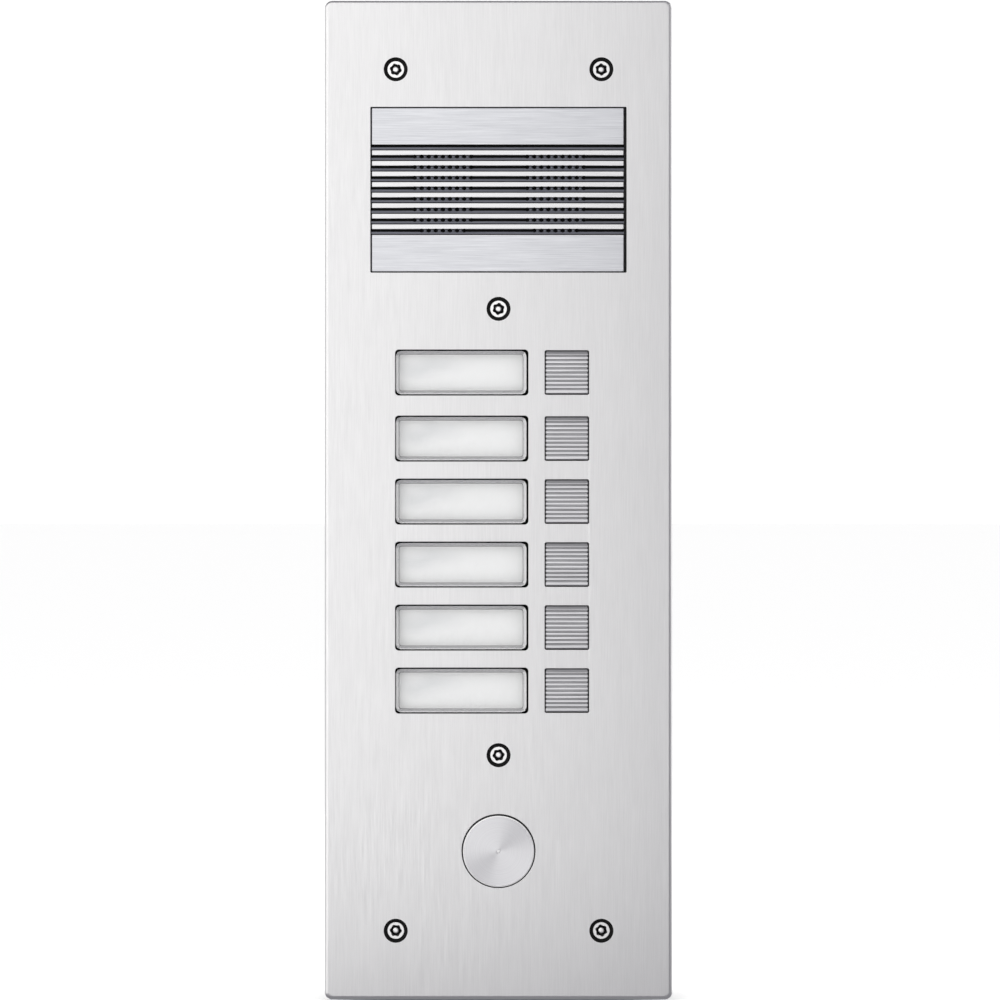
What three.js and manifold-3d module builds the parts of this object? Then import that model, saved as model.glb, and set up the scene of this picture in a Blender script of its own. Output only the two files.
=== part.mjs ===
// Flush-mounted door intercom panel: a brushed stainless front plate with a louvred speech grille, six name
// windows, six ribbed call buttons and a round light button, the speech and call modules behind it, and the
// sheet-steel box that is set into the wall.
// Millimetres. +X is the viewer's right, +Y goes into the wall, +Z is up. The origin is on the wall's
// surface, at the middle of the plate.
import * as THREE from "three";
import { mergeVertices } from "three/addons/utils/BufferGeometryUtils.js";
import Module from "manifold-3d";

const wasm = await Module();
wasm.setup();

// ---- driving dimensions ----

const GAP = 0.1; // between faces that rest on each other
const ROWS = 6;

// The plate is 2 mm sheet with its rim turned back to the wall.
const PLATE = { width: 120, height: 345, depth: 4, sheet: 2, corner: 2.6, edge: 2 };
const FRONT_Y = -PLATE.depth;
const INNER_Y = FRONT_Y + PLATE.sheet;

const SCREW = { cornerX: 35.5, cornerZ: 148.7, upperZ: 66, lowerZ: -88.1, sinkRadius: 4.15, thread: 1.95 };
const SCREW_PLACES = [
  [-SCREW.cornerX, SCREW.cornerZ],
  [SCREW.cornerX, SCREW.cornerZ],
  [0, SCREW.upperZ],
  [0, SCREW.lowerZ],
  [-SCREW.cornerX, -SCREW.cornerZ],
  [SCREW.cornerX, -SCREW.cornerZ],
];

// Grooves run across the grille between a plain band above and one below.
const GROOVE = { count: 9, height: 1.95, land: 1.7, depth: 2.2 };
GROOVE.pitch = GROOVE.height + GROOVE.land;
const GRILLE = { z: 107.1, width: 87.8, slack: 0.3, band: 12.7, flange: 4 };
GRILLE.height = 2 * GRILLE.band + GROOVE.count * GROOVE.pitch - GROOVE.land;
const SOUND = { leftX: -19.2, rightX: 19.7, z: 106.8, radius: 14, halfWidth: 12.5, slot: 1.4 };

// The first call row stands a little further from the second than the others do from each other.
const ROW = { topZ: 44, firstStep: 22.8, step: 21.75 };
const rowZ = (row) => ROW.topZ - (row ? ROW.firstStep + (row - 1) * ROW.step : 0);
const WINDOW = { x: -12.7, width: 46, height: 15.8, corner: 1.3, slack: 0.3, bevel: 1.1, flange: 1.5 };
const BUTTON = {
  x: 23.6,
  opening: 15.3,
  size: 14.8,
  ribs: 9,
  pitch: 1.43,
  proud: 0.4,
  flange: 17.4,
  stem: 2.4,
  stemEnd: 9.7,
  travel: 1.2,
};
const LIGHT = {
  z: -121.2,
  hole: 12.75,
  cap: 12.15,
  flange: 13.7,
  stem: 3,
  stemEnd: 18,
  travel: 1.5,
  sides: 28,
};
const SPARE_TRAVEL = 0.5; // left in a switch's well when its button is fully in

const BOX = { width: 110, height: 335, depth: 46, sheet: 1.2, lip: 4 };
const BRIDGE = { height: 12, sheet: 1.5 };
const GROMMET = { x: -30, z: -145, hole: 10, passage: 4.5 };
const BOX_FIXINGS = { x: 40, z: 130, radius: 2.5 };

// Studs welded to the plate's back hold the modules. Each list gives the [x, z] of its studs.
const SPEECH_STUDS = [-1, 1].flatMap((side) => [-22, 22].map((up) => [47.3 * side, GRILLE.z + up]));
const CALL_STUDS = [-43, 40].flatMap((x) => [-72, 50].map((z) => [x, z]));
const LIGHT_STUDS = [[-21, LIGHT.z], [21, LIGHT.z]];
const STUD = { radius: 1.5, hole: 1.7, speechEnd: 7.5, callEnd: 27, lightEnd: 5 };
const CALL = { left: -39, right: 36, bottom: -78.5, top: 56.5, frontY: 1, guideY: 8, rearY: 11.9 };
const CALL_BOARD_Y = [12, 13.6];
const MAIN_BOARD = { left: -47, right: 44, bottom: -76, top: 54, y: [22, 23.6] };
const SPEAKER = { radius: 20, opening: 17.4, gasketY: [2.5, 3.5] };
const MICROPHONE = { radius: 4.85, boot: 7, port: 3 };
const MEMBRANE = { width: 72, height: 34, y: [-0.35, 0.05] };
const TERMINAL = { x: -8, poles: 8, pitch: 5.08, bottom: -58, top: -47 };
const BOSS = { radius: 3.4, hole: 2.2, sides: 10 }; // threaded spacers that take the security screws

// ---- materials ----

const paint = (color, roughness, metalness) =>
  new THREE.MeshStandardMaterial({ color, roughness, metalness });
const MATERIAL = {
  brushedSteel: paint(0xd9d9dc, 0.35, 1),
  aluminium: paint(0xc9cbd1, 0.32, 1),
  screwSteel: paint(0xe6e6e6, 0.25, 1),
  galvanised: paint(0xaeb4b8, 0.45, 1),
  springSteel: paint(0xb0b0b0, 0.3, 1),
  clear: new THREE.MeshStandardMaterial({
    color: 0xf4f6f8,
    roughness: 0.08,
    transparent: true,
    opacity: 0.35,
  }),
  paper: paint(0xf1f1ee, 0.85, 0),
  diffuser: paint(0xeceae2, 0.5, 0),
  blackPlastic: paint(0x1c1d1f, 0.55, 0),
  greyPlastic: paint(0x4a4d50, 0.55, 0),
  rubber: paint(0x17171a, 0.8, 0),
  cloth: paint(0x111113, 0.95, 0),
  board: paint(0x1d5a3a, 0.5, 0),
  terminal: paint(0x3f7d4c, 0.45, 0),
  wire: paint(0x8a2a26, 0.5, 0),
};

// ---- solids ----

function toSolid(geometry) {
  const bare = geometry.clone();
  bare.deleteAttribute("normal");
  bare.deleteAttribute("uv");
  const merged = mergeVertices(bare, 1e-4);
  const corners = [...merged.index.array];
  const faces = [];
  for (let i = 0; i < corners.length; i += 3) {
    const [a, b, c] = corners.slice(i, i + 3);
    if (a !== b && b !== c && c !== a) faces.push([a, b, c]);
  }
  const build = (list) =>
    new wasm.Manifold(
      new wasm.Mesh({
        numProp: 3,
        vertProperties: new Float32Array(merged.attributes.position.array),
        triVerts: new Uint32Array(list.flat()),
      }),
    );
  const solid = build(faces);
  return solid.volume() < 0 ? build(faces.map((face) => face.reverse())) : solid;
}

function toGeometry(solid) {
  const mesh = solid.getMesh();
  const geometry = new THREE.BufferGeometry();
  geometry.setAttribute("position", new THREE.BufferAttribute(mesh.vertProperties, 3));
  geometry.setIndex(new THREE.BufferAttribute(mesh.triVerts, 1));
  geometry.computeVertexNormals();
  return geometry;
}

const join = (...solids) => solids.reduce((sum, next) => sum.add(next));
const cut = (solid, ...tools) => tools.reduce((left, tool) => left.subtract(tool), solid);

// A block between two corners.
function block([x0, x1], [y0, y1], [z0, z1]) {
  const geometry = new THREE.BoxGeometry(x1 - x0, y1 - y0, z1 - z0);
  return toSolid(geometry.translate((x0 + x1) / 2, (y0 + y1) / 2, (z0 + z1) / 2));
}

const spread = (middle, size) => [middle - size / 2, middle + size / 2];

// A round bar along Y. With two radii it is a cone from the first, at y0, to the second, at y1.
function bar(x, z, radius, [y0, y1], sides = 16, endRadius = radius) {
  const geometry = new THREE.CylinderGeometry(endRadius, radius, y1 - y0, sides);
  return toSolid(geometry.translate(x, (y0 + y1) / 2, z));
}

// A body turned about an axis along Y, from a closed outline of [radius, y] points.
function turned(x, z, outline, sides = 20) {
  const points = [...outline, outline[0]].map(([radius, y]) => new THREE.Vector2(radius, y));
  return toSolid(new THREE.LatheGeometry(points, sides).translate(x, 0, z));
}

function roundedRectangle(width, height, radius) {
  const [x, z] = [width / 2 - radius, height / 2 - radius];
  const shape = new THREE.Shape();
  shape.absarc(x, z, radius, 0, Math.PI / 2);
  shape.absarc(-x, z, radius, Math.PI / 2, Math.PI);
  shape.absarc(-x, -z, radius, Math.PI, 1.5 * Math.PI);
  shape.absarc(x, -z, radius, 1.5 * Math.PI, 2 * Math.PI);
  return shape;
}

// A slab with an outline in the plate's plane, from y0 back to y1. An arc has twice curveSegments chords.
function slab(shape, x, z, [y0, y1], curveSegments = 2) {
  const geometry = new THREE.ExtrudeGeometry(shape, { depth: y1 - y0, bevelEnabled: false, curveSegments });
  return toSolid(geometry.rotateX(Math.PI / 2).translate(x, y1, z));
}

// A slab whose front edge, at y0, is rounded or bevelled by edge.
function edgedSlab(shape, x, z, [y0, y1], edge, bevelSegments, curveSegments) {
  const depth = y1 - y0;
  const bevel = { bevelThickness: edge, bevelSize: edge, bevelOffset: -edge, bevelSegments };
  const geometry = new THREE.ExtrudeGeometry(shape, { depth, curveSegments, ...bevel });
  const both = toSolid(geometry.rotateX(Math.PI / 2).translate(x, y0 + edge + depth, z));
  const far = 400;
  return cut(both, block([-far, far], [y1, y1 + far], [-far, far]));
}

// A bar along X with an outline of [y, z] points.
function profileBar(outline, [x0, x1]) {
  const shape = new THREE.Shape(outline.map(([y, z]) => new THREE.Vector2(y, z)));
  const geometry = new THREE.ExtrudeGeometry(shape, { depth: x1 - x0, bevelEnabled: false });
  const axes = [new THREE.Vector3(0, 1, 0), new THREE.Vector3(0, 0, 1), new THREE.Vector3(1, 0, 0)];
  return toSolid(geometry.applyMatrix4(new THREE.Matrix4().makeBasis(...axes)).translate(x0, 0, 0));
}

// A tube of round section along a curve.
function tube(curve, radius, sides, steps) {
  const section = new THREE.Shape().absarc(0, 0, radius, 0, 2 * Math.PI);
  const curveSegments = sides / 2;
  return toSolid(new THREE.ExtrudeGeometry(section, { extrudePath: curve, steps, curveSegments }));
}

class Helix extends THREE.Curve {
  constructor(x, z, radius, y0, y1, turns) {
    super();
    Object.assign(this, { x, z, radius, y0, y1, turns });
  }
  getPoint(t, target = new THREE.Vector3()) {
    const angle = 2 * Math.PI * this.turns * t;
    const y = this.y0 + (this.y1 - this.y0) * t;
    return target.set(this.x + this.radius * Math.cos(angle), y, this.z + this.radius * Math.sin(angle));
  }
}

function coilSpring(x, z, radius, wire, [y0, y1], turns) {
  const helix = new Helix(x, z, radius, y0 + wire, y1 - wire, turns);
  return tube(helix, wire, 4, turns * 8);
}

const group = new THREE.Group();

function addNode(name, solid, material) {
  const mesh = new THREE.Mesh(toGeometry(solid), material);
  mesh.name = name;
  group.add(mesh);
}

// ---- front plate and its screws ----

function frontPlate() {
  const outline = roundedRectangle(PLATE.width, PLATE.height, PLATE.corner);
  const blank = edgedSlab(outline, 0, 0, [FRONT_Y, 0], PLATE.edge, 3, 3);
  const rim = 2 * PLATE.sheet;
  const pocket = slab(roundedRectangle(PLATE.width - rim, PLATE.height - rim, 1), 0, 0, [INNER_Y, 1], 1);
  const through = [FRONT_Y - 1, 1];
  const slack = 2 * GRILLE.slack;
  const grilleWidth = spread(0, GRILLE.width + slack);
  const grilleOpening = block(grilleWidth, through, spread(GRILLE.z, GRILLE.height + slack));
  const windowShape = roundedRectangle(WINDOW.width, WINDOW.height, WINDOW.corner);
  const buttonShape = roundedRectangle(BUTTON.opening, BUTTON.opening, 0.6);
  const rows = [...Array(ROWS).keys()].flatMap((row) => [
    slab(windowShape, WINDOW.x, rowZ(row), through),
    slab(buttonShape, BUTTON.x, rowZ(row), through, 1),
  ]);
  const lightHole = bar(0, LIGHT.z, LIGHT.hole, through, LIGHT.sides);
  const past = 0.2; // how far each countersink runs past both faces, on the same 45-degree cone
  const sinkDepth = [FRONT_Y - past, INNER_Y + past];
  const sinkEnd = SCREW.sinkRadius - PLATE.sheet - past;
  const sinks = SCREW_PLACES.map(([x, z]) => bar(x, z, SCREW.sinkRadius + past, sinkDepth, 16, sinkEnd));
  const weld = 0.5;
  const studs = [
    [SPEECH_STUDS, STUD.speechEnd],
    [CALL_STUDS, STUD.callEnd],
    [LIGHT_STUDS, STUD.lightEnd],
  ].flatMap(([places, end]) => places.map(([x, z]) => bar(x, z, STUD.radius, [INNER_Y - weld, end], 8)));
  return join(cut(blank, pocket, grilleOpening, lightHole, ...rows, ...sinks), ...studs);
}

// A pin-in star-drive screw whose flat head sits at the bottom of the countersink.
function securityScrew(x, z) {
  const head = { top: FRONT_Y + 1.1, radius: 2.95 };
  const neckY = head.top + head.radius - SCREW.thread;
  const body = turned(x, z, [
    [0, head.top],
    [head.radius, head.top],
    [SCREW.thread, neckY],
    [SCREW.thread, 11.6],
    [1.5, 12],
    [0, 12],
  ], 14);
  const lobes = 6;
  const star = new THREE.Shape();
  for (let i = 0; i < 2 * lobes; i++) {
    const radius = i % 2 ? 1.35 : 1.9;
    const angle = (Math.PI * i) / lobes;
    star.lineTo(radius * Math.cos(angle), radius * Math.sin(angle));
  }
  const recess = slab(star, x, z, [head.top - 1, head.top + 1.5]);
  const pin = bar(x, z, 0.9, [head.top + 0.2, head.top + 2], 8);
  return join(cut(body, recess), pin);
}

// ---- speech module ----

// Half the width of the row of sound holes at a height, 0 outside the round patch.
function soundHalfWidth(z) {
  const chord = SOUND.radius ** 2 - (z - SOUND.z) ** 2;
  return chord > 0 ? Math.min(SOUND.halfWidth, Math.sqrt(chord)) : 0;
}

function speakerGrille() {
  const floorY = FRONT_Y + GROOVE.depth;
  const rearY = INNER_Y + 1.5;
  const flangeY = INNER_Y + GAP;
  const [bottom, top] = spread(GRILLE.z, GRILLE.height);
  const grooveBottom = (i) => bottom + GRILLE.band + i * GROOVE.pitch;
  const front = [...Array(GROOVE.count).keys()].flatMap((i) => [
    [FRONT_Y, grooveBottom(i)],
    [floorY, grooveBottom(i)],
    [floorY, grooveBottom(i) + GROOVE.height],
    [FRONT_Y, grooveBottom(i) + GROOVE.height],
  ]);
  const outline = [
    [rearY, bottom - GRILLE.flange],
    [flangeY, bottom - GRILLE.flange],
    [flangeY, bottom],
    [FRONT_Y, bottom],
    ...front,
    [FRONT_Y, top],
    [flangeY, top],
    [flangeY, top + GRILLE.flange],
    [rearY, top + GRILLE.flange],
  ];
  // One slot stands for each row of drilled sound holes. The topmost groove has none.
  const slots = [...Array(GROOVE.count - 1).keys()].flatMap((i) => {
    const z = grooveBottom(i) + GROOVE.height / 2;
    const half = soundHalfWidth(z);
    const slotAt = (x) => block([x - half, x + half], [floorY - 0.5, rearY + 1], spread(z, SOUND.slot));
    return half ? [slotAt(SOUND.leftX), slotAt(SOUND.rightX)] : [];
  });
  return cut(profileBar(outline, spread(0, GRILLE.width)), ...slots);
}

// Black moulding behind the grille, with a ring wall for the speaker and one for the microphone.
function speechCarrier() {
  const [frontY, rearY] = [-0.4, 2.4];
  const outline = roundedRectangle(100.4, 67, 3);
  const sheet = slab(outline, 0, GRILLE.z, [frontY, rearY], 1);
  const spacers = SPEECH_STUDS.map(([x, z]) => bar(x, z, 3.2, [INNER_Y + GAP, frontY + 1], 10));
  const speakerWall = bar(SOUND.leftX, SOUND.z, SPEAKER.radius + 2.4, [rearY - 1, 7.5], 24);
  const microphoneWall = bar(SOUND.rightX, SOUND.z, MICROPHONE.boot + 2, [rearY - 1, 8]);
  const slack = 0.6;
  const pocket = block(
    spread(0, MEMBRANE.width + slack),
    [frontY - 1, MEMBRANE.y[1] + 0.05],
    spread(SOUND.z, MEMBRANE.height + slack),
  );
  return cut(
    join(sheet, ...spacers, speakerWall, microphoneWall),
    pocket,
    bar(SOUND.leftX, SOUND.z, SPEAKER.radius + 0.7, [rearY, 9], 24),
    bar(SOUND.leftX, SOUND.z, SPEAKER.opening, [-2, 9], 20),
    bar(SOUND.rightX, SOUND.z, MICROPHONE.boot + 0.4, [rearY, 9]),
    bar(SOUND.rightX, SOUND.z, MICROPHONE.port, [-2, 9], 10),
    ...SPEECH_STUDS.map(([x, z]) => bar(x, z, STUD.hole, [-5, 9], 10)),
  );
}

const membrane = () =>
  block(spread(0, MEMBRANE.width), MEMBRANE.y, spread(SOUND.z, MEMBRANE.height));

const atSpeaker = (outline) => turned(SOUND.leftX, SOUND.z, outline);

function speakerGasket() {
  const { radius, opening, gasketY } = SPEAKER;
  const [y0, y1] = gasketY;
  return atSpeaker([[opening, y0], [radius, y0], [radius, y1], [opening, y1]]);
}

const speakerBasket = () =>
  atSpeaker([
    [SPEAKER.opening, 3.6], [SPEAKER.radius, 3.6], [SPEAKER.radius, 4.6], [18.9, 4.6], [18.3, 6.5],
    [12.2, 13], [6.2, 13], [6.2, 12], [11.5, 12], [SPEAKER.opening, 6.2],
  ]);

// Paper cone, dust cap and voice-coil former in one. The former runs in the magnet's ring gap.
const speakerCone = () =>
  atSpeaker([
    [0, 8.4], [3, 8.7], [5.2, 10.2], [16.4, 4.5], [16.9, 4.9],
    [5.3, 10.9], [5.3, 15], [4.8, 15], [4.8, 10.7], [0, 9],
  ]);

// Pot magnet with a ring gap open towards the cone.
const speakerMagnet = () =>
  atSpeaker([
    [0, 13.1], [4.3, 13.1], [4.3, 16.2], [5.8, 16.2], [5.8, 13.1],
    [11, 13.1], [11, 19.5], [10.5, 20], [0, 20],
  ]);

const atMicrophone = (outline) => turned(SOUND.rightX, SOUND.z, outline, 16);

const microphoneBoot = () =>
  atMicrophone([[2, 2.5], [MICROPHONE.boot, 2.5], [MICROPHONE.boot, 9.5], [5, 9.5], [5, 4], [2, 4]]);

const microphoneCapsule = () =>
  atMicrophone([[0, 4.1], [MICROPHONE.radius, 4.1], [MICROPHONE.radius, 10.6], [0, 10.6]]);

// ---- call module ----

// Clear block with a bevelled front edge, and a flange that keeps it behind the plate.
function nameWindow(z) {
  const [width, height] = [WINDOW.width - 2 * WINDOW.slack, WINDOW.height - 2 * WINDOW.slack];
  const face = roundedRectangle(width, height, WINDOW.corner);
  const flangeY = INNER_Y + GAP;
  const lens = edgedSlab(face, WINDOW.x, z, [FRONT_Y + 0.1, flangeY + 0.5], WINDOW.bevel, 1, 2);
  const flange = roundedRectangle(WINDOW.width + 2 * WINDOW.flange, WINDOW.height + 2 * WINDOW.flange, 1);
  return join(lens, slab(flange, WINDOW.x, z, [flangeY, flangeY + 1.2], 1));
}

const nameCard = (z) => block(spread(WINDOW.x, 45), [-0.6, -0.3], spread(z, 15));

// Extruded aluminium cap with V grooves across its face, its retaining flange and its switch stem.
function callButton(z) {
  const faceY = FRONT_Y - BUTTON.proud;
  const [bottom, top] = spread(z, BUTTON.size);
  const chamfer = { height: 0.9, depth: 0.7 };
  const groove = { half: 0.36, depth: 0.55 };
  const middle = (BUTTON.ribs - 1) / 2;
  const grooves = [...Array(BUTTON.ribs).keys()].flatMap((i) => {
    const at = z + (i - middle) * BUTTON.pitch;
    return [
      [faceY, at - groove.half],
      [faceY + groove.depth, at - groove.half / 3],
      [faceY + groove.depth, at + groove.half / 3],
      [faceY, at + groove.half],
    ];
  });
  const flangeY = INNER_Y + GAP;
  const cap = profileBar([
    [flangeY + 0.5, bottom],
    [faceY + chamfer.depth, bottom],
    [faceY, bottom + chamfer.height],
    ...grooves,
    [faceY, top - chamfer.height],
    [faceY + chamfer.depth, top],
    [flangeY + 0.5, top],
  ], spread(BUTTON.x, BUTTON.size));
  const flange = block(spread(BUTTON.x, BUTTON.flange), [flangeY, flangeY + 1.2], spread(z, BUTTON.flange));
  const stem = bar(BUTTON.x, z, BUTTON.stem, [flangeY + 1, BUTTON.stemEnd], 10);
  return join(cap, flange, stem);
}

const callSpring = (z) => coilSpring(BUTTON.x, z, 4.4, 0.3, [-0.6, 4.9], 3);

// Grey moulding: light chambers behind the cards, spring wells and stem guides, main board posts.
function callCarrier() {
  const outer = block([CALL.left, CALL.right], [CALL.frontY, CALL.rearY], [CALL.bottom, CALL.top]);
  const wall = 2;
  const rearPocket = block(
    [CALL.left + wall, CALL.right - wall],
    [CALL.guideY, CALL.rearY + 1],
    [CALL.bottom + wall, CALL.top - wall],
  );
  const chambers = [...Array(ROWS).keys()].flatMap((row) => [
    block(spread(WINDOW.x, 42), [0, CALL.guideY + 1], spread(rowZ(row), 13)),
    bar(BUTTON.x, rowZ(row), 5.6, [0, 5], 14),
    bar(BUTTON.x, rowZ(row), BUTTON.stem + 0.3, [0, CALL.guideY + 1], 10),
  ]);
  const postWall = 3.5;
  const posts = CALL_STUDS.flatMap(([x, z]) => [
    bar(x, z, postWall, [INNER_Y + GAP, MAIN_BOARD.y[0] - GAP], 10),
    block(x < 0 ? [x, CALL.left + 1] : [CALL.right - 1, x], [CALL.frontY, CALL.rearY], spread(z, 5)),
  ]);
  const stems = CALL_STUDS.map(([x, z]) => bar(x, z, STUD.hole, [-5, MAIN_BOARD.y[0] + 5], 10));
  return cut(join(outer, ...posts), rearPocket, ...chambers, ...stems);
}

const lightGuide = () => block([-37, 11.6], [-0.2, 0.9], [-75.5, 53.5]);

// The row board: six key switches with a well for each stem, and six backlight diodes.
function callBoard() {
  const inset = 0.2;
  const width = [CALL.left + inset, CALL.right - inset];
  const board = block(width, CALL_BOARD_Y, [CALL.bottom + inset, CALL.top - inset]);
  const front = [8.6, CALL_BOARD_Y[0] + 0.5];
  const well = [8, BUTTON.stemEnd + BUTTON.travel + SPARE_TRAVEL];
  const switches = [...Array(ROWS).keys()].map((row) =>
    cut(
      block(spread(BUTTON.x, 7.4), front, spread(rowZ(row), 7.4)),
      bar(BUTTON.x, rowZ(row), BUTTON.stem + 0.4, well, 10),
    ),
  );
  const diodes = [...Array(ROWS).keys()].map((row) =>
    block(spread(WINDOW.x, 3.5), [CALL_BOARD_Y[0] - 1.4, CALL_BOARD_Y[0] + 0.5], spread(rowZ(row), 2.8)),
  );
  return join(board, ...switches, ...diodes);
}

// ---- light button ----

const atLight = (outline) => turned(0, LIGHT.z, outline, LIGHT.sides);

const lightButtonCap = () =>
  atLight([
    [0, FRONT_Y], [LIGHT.cap - 0.3, FRONT_Y], [LIGHT.cap, FRONT_Y + 0.3], [LIGHT.cap, INNER_Y + GAP],
    [LIGHT.flange, INNER_Y + GAP], [LIGHT.flange, 5], [11.7, 5], [11.7, -0.4], [LIGHT.stem, -0.4],
    [LIGHT.stem, LIGHT.stemEnd], [0, LIGHT.stemEnd],
  ]);

function lightButtonHousing() {
  const cup = atLight([
    [14, INNER_Y + GAP], [18, INNER_Y + GAP], [18, 0.1], [15.6, 0.1],
    [15.6, 14], [LIGHT.stem + 0.3, 14], [LIGHT.stem + 0.3, 12], [14, 12],
  ]);
  const ears = LIGHT_STUDS.map(([x]) =>
    block(x < 0 ? [x - 3.5, -15] : [15, x + 3.5], [INNER_Y + GAP, 0.1], spread(LIGHT.z, 8)),
  );
  const holes = LIGHT_STUDS.map(([x, z]) => bar(x, z, STUD.hole, [-5, 5], 10));
  return cut(join(cup, ...ears), ...holes);
}

const lightButtonSpring = () => coilSpring(0, LIGHT.z, 8, 0.45, [-0.3, 11.9], 4);

function lightButtonSwitch() {
  const body = block([-10, 10], [14.1, 26], spread(LIGHT.z, 11));
  const tags = [-6, 0, 6].map((x) => block(spread(x, 2.8), [25.5, 29], spread(LIGHT.z, 0.8)));
  const well = [13, LIGHT.stemEnd + LIGHT.travel + SPARE_TRAVEL];
  return cut(join(body, ...tags), bar(0, LIGHT.z, LIGHT.stem + 0.5, well, 12));
}

// ---- electronics ----

function mainBoard() {
  const [y0, y1] = MAIN_BOARD.y;
  const board = block([MAIN_BOARD.left, MAIN_BOARD.right], [y0, y1], [MAIN_BOARD.bottom, MAIN_BOARD.top]);
  const chip = (x, z, width, height, tall) =>
    block(spread(x, width), [y1 - 0.5, y1 + tall], spread(z, height));
  const can = (x, z, radius, tall) => bar(x, z, radius, [y1 - 0.5, y1 + tall], 12);
  const parts = [
    chip(-8, 10, 14, 14, 1.6), // controller
    chip(20, 14, 10, 8, 1.8), // audio amplifier
    chip(-30, 22, 15.5, 19, 10), // relay
    chip(-22, 48, 7.5, 5.8, 6), // speaker socket
    chip(24, 48, 7.5, 5.8, 6), // microphone socket
    chip(16, -70, 7.5, 5.8, 6), // light button socket
    can(30, -8, 5, 12),
    can(18, -8, 4, 9),
    can(-32, -12, 4, 9),
  ];
  const holes = CALL_STUDS.map(([x, z]) => bar(x, z, STUD.hole, [y0 - 1, y1 + 1], 10));
  return cut(join(board, ...parts), ...holes);
}

// Each pole has a wire entry in the lower side and a clamping screw's well in the rear face.
function terminalBlock() {
  const { poles, pitch, bottom, top } = TERMINAL;
  const [frontY, rearY] = [MAIN_BOARD.y[1] + GAP, MAIN_BOARD.y[1] + 12];
  const body = block(spread(TERMINAL.x, poles * pitch), [frontY, rearY], [bottom, top]);
  const wells = [...Array(poles).keys()].flatMap((i) => {
    const x = TERMINAL.x + (i - (poles - 1) / 2) * pitch;
    return [
      block(spread(x, 3), spread(frontY + 4, 3.2), [bottom - 1, bottom + 6]),
      bar(x, (bottom + top) / 2, 1.7, [rearY - 4, rearY + 1], 8),
    ];
  });
  return cut(body, ...wells);
}

// Ten-pole header between the two boards.
const boardLink = () =>
  block(spread(-8, 25.4), [CALL_BOARD_Y[1] + GAP, MAIN_BOARD.y[0] - GAP], spread(-68, 5));

// Each lead is a two-core cable of one smooth curve through a few points.
function lead(points, radius) {
  const curve = new THREE.CatmullRomCurve3(points.map((point) => new THREE.Vector3(...point)));
  return tube(curve, radius, 8, 14);
}

const speakerLead = () =>
  lead([[-19.2, 21.4, 100], [-19.4, 24.4, 91], [-21, 26, 78], [-22, 28, 64], [-22, 26.6, 52.2]], 1);
const microphoneLead = () =>
  lead([[19.7, 11.6, 106.8], [19.9, 16, 104.5], [22, 23, 93], [24, 28, 72], [24, 26.6, 52.2]], 1);
const lightButtonLead = () =>
  lead([[6, 30.3, -121.2], [7.5, 33.5, -114], [13, 33, -98], [16, 29, -84], [16, 26.6, -74.2]], 1);

// ---- wall box ----

// Folded sheet box with a turned-in lip, four threaded tabs, a cable hole and fixing holes in its back.
function backBox() {
  const { width, height, depth, sheet, lip } = BOX;
  const shell = slab(roundedRectangle(width, height, 1.5), 0, 0, [GAP, depth], 1);
  const inner = { width: width - 2 * sheet, height: height - 2 * sheet };
  const inside = block(spread(0, inner.width), [sheet + GAP, depth - sheet], spread(0, inner.height));
  const mouth = block(spread(0, width - 2 * lip), [-1, sheet + 1], spread(0, height - 2 * lip));
  const corners = SCREW_PLACES.filter(([x]) => x !== 0);
  const [tabInner, tabOuter] = [SCREW.cornerZ - 7, height / 2 - 1];
  const tabs = corners.flatMap(([x, z]) => [
    block(spread(x, 14), [GAP, sheet + GAP], z > 0 ? [tabInner, tabOuter] : [-tabOuter, -tabInner]),
    bar(x, z, BOSS.radius, [INNER_Y + 2 * GAP, 7], BOSS.sides),
  ]);
  const threads = corners.map(([x, z]) => bar(x, z, BOSS.hole, [-5, 9], BOSS.sides));
  const cableHole = bar(GROMMET.x, GROMMET.z, GROMMET.hole, [depth - 3, depth + 1]);
  const fixings = [-1, 1].flatMap((side) =>
    [-1, 1].map((up) =>
      bar(side * BOX_FIXINGS.x, up * BOX_FIXINGS.z, BOX_FIXINGS.radius, [depth - 3, depth + 1], 10),
    ),
  );
  return cut(join(cut(shell, inside, mouth), ...tabs), ...threads, cableHole, ...fixings);
}

// Cross-bar behind the lip: its ends turn back along the box's sides and a threaded boss is in its middle.
function bridge(z) {
  const half = BOX.width / 2 - BOX.sheet - GAP;
  const frontY = BOX.sheet + 2 * GAP;
  const tall = spread(z, BRIDGE.height);
  const strap = block([-half, half], [frontY, frontY + BRIDGE.sheet], tall);
  const endY = [frontY, 13];
  const ends = [
    block([-half, BRIDGE.sheet - half], endY, tall),
    block([half - BRIDGE.sheet, half], endY, tall),
  ];
  const boss = bar(0, z, BOSS.radius, [INNER_Y + 2 * GAP, 8], BOSS.sides);
  return cut(join(strap, ...ends, boss), bar(0, z, BOSS.hole, [-5, 9], BOSS.sides));
}

function plateGasket() {
  const y = [INNER_Y + GAP, 0];
  const outer = roundedRectangle(PLATE.width - 5, PLATE.height - 5, 1);
  const inner = roundedRectangle(BOX.width - 2 * BOX.lip + 1, BOX.height - 2 * BOX.lip + 1, 1);
  return cut(slab(outer, 0, 0, y, 1), slab(inner, 0, 0, [-5, 5], 1));
}

// Rubber ring in the cable hole: a groove around it holds the edge of the sheet.
function cableGrommet() {
  const { hole, passage } = GROMMET;
  const [innerFace, outerFace] = [BOX.depth - BOX.sheet - GAP, BOX.depth + GAP];
  const flange = hole + 1.5;
  return turned(GROMMET.x, GROMMET.z, [
    [passage, innerFace - 1.5],
    [flange, innerFace - 1.5],
    [flange, innerFace],
    [hole - GAP, innerFace],
    [hole - GAP, outerFace],
    [flange, outerFace],
    [hole + 1, outerFace + 1.2],
    [passage, outerFace + 1.2],
  ], 16);
}

// ---- assembly ----

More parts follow.
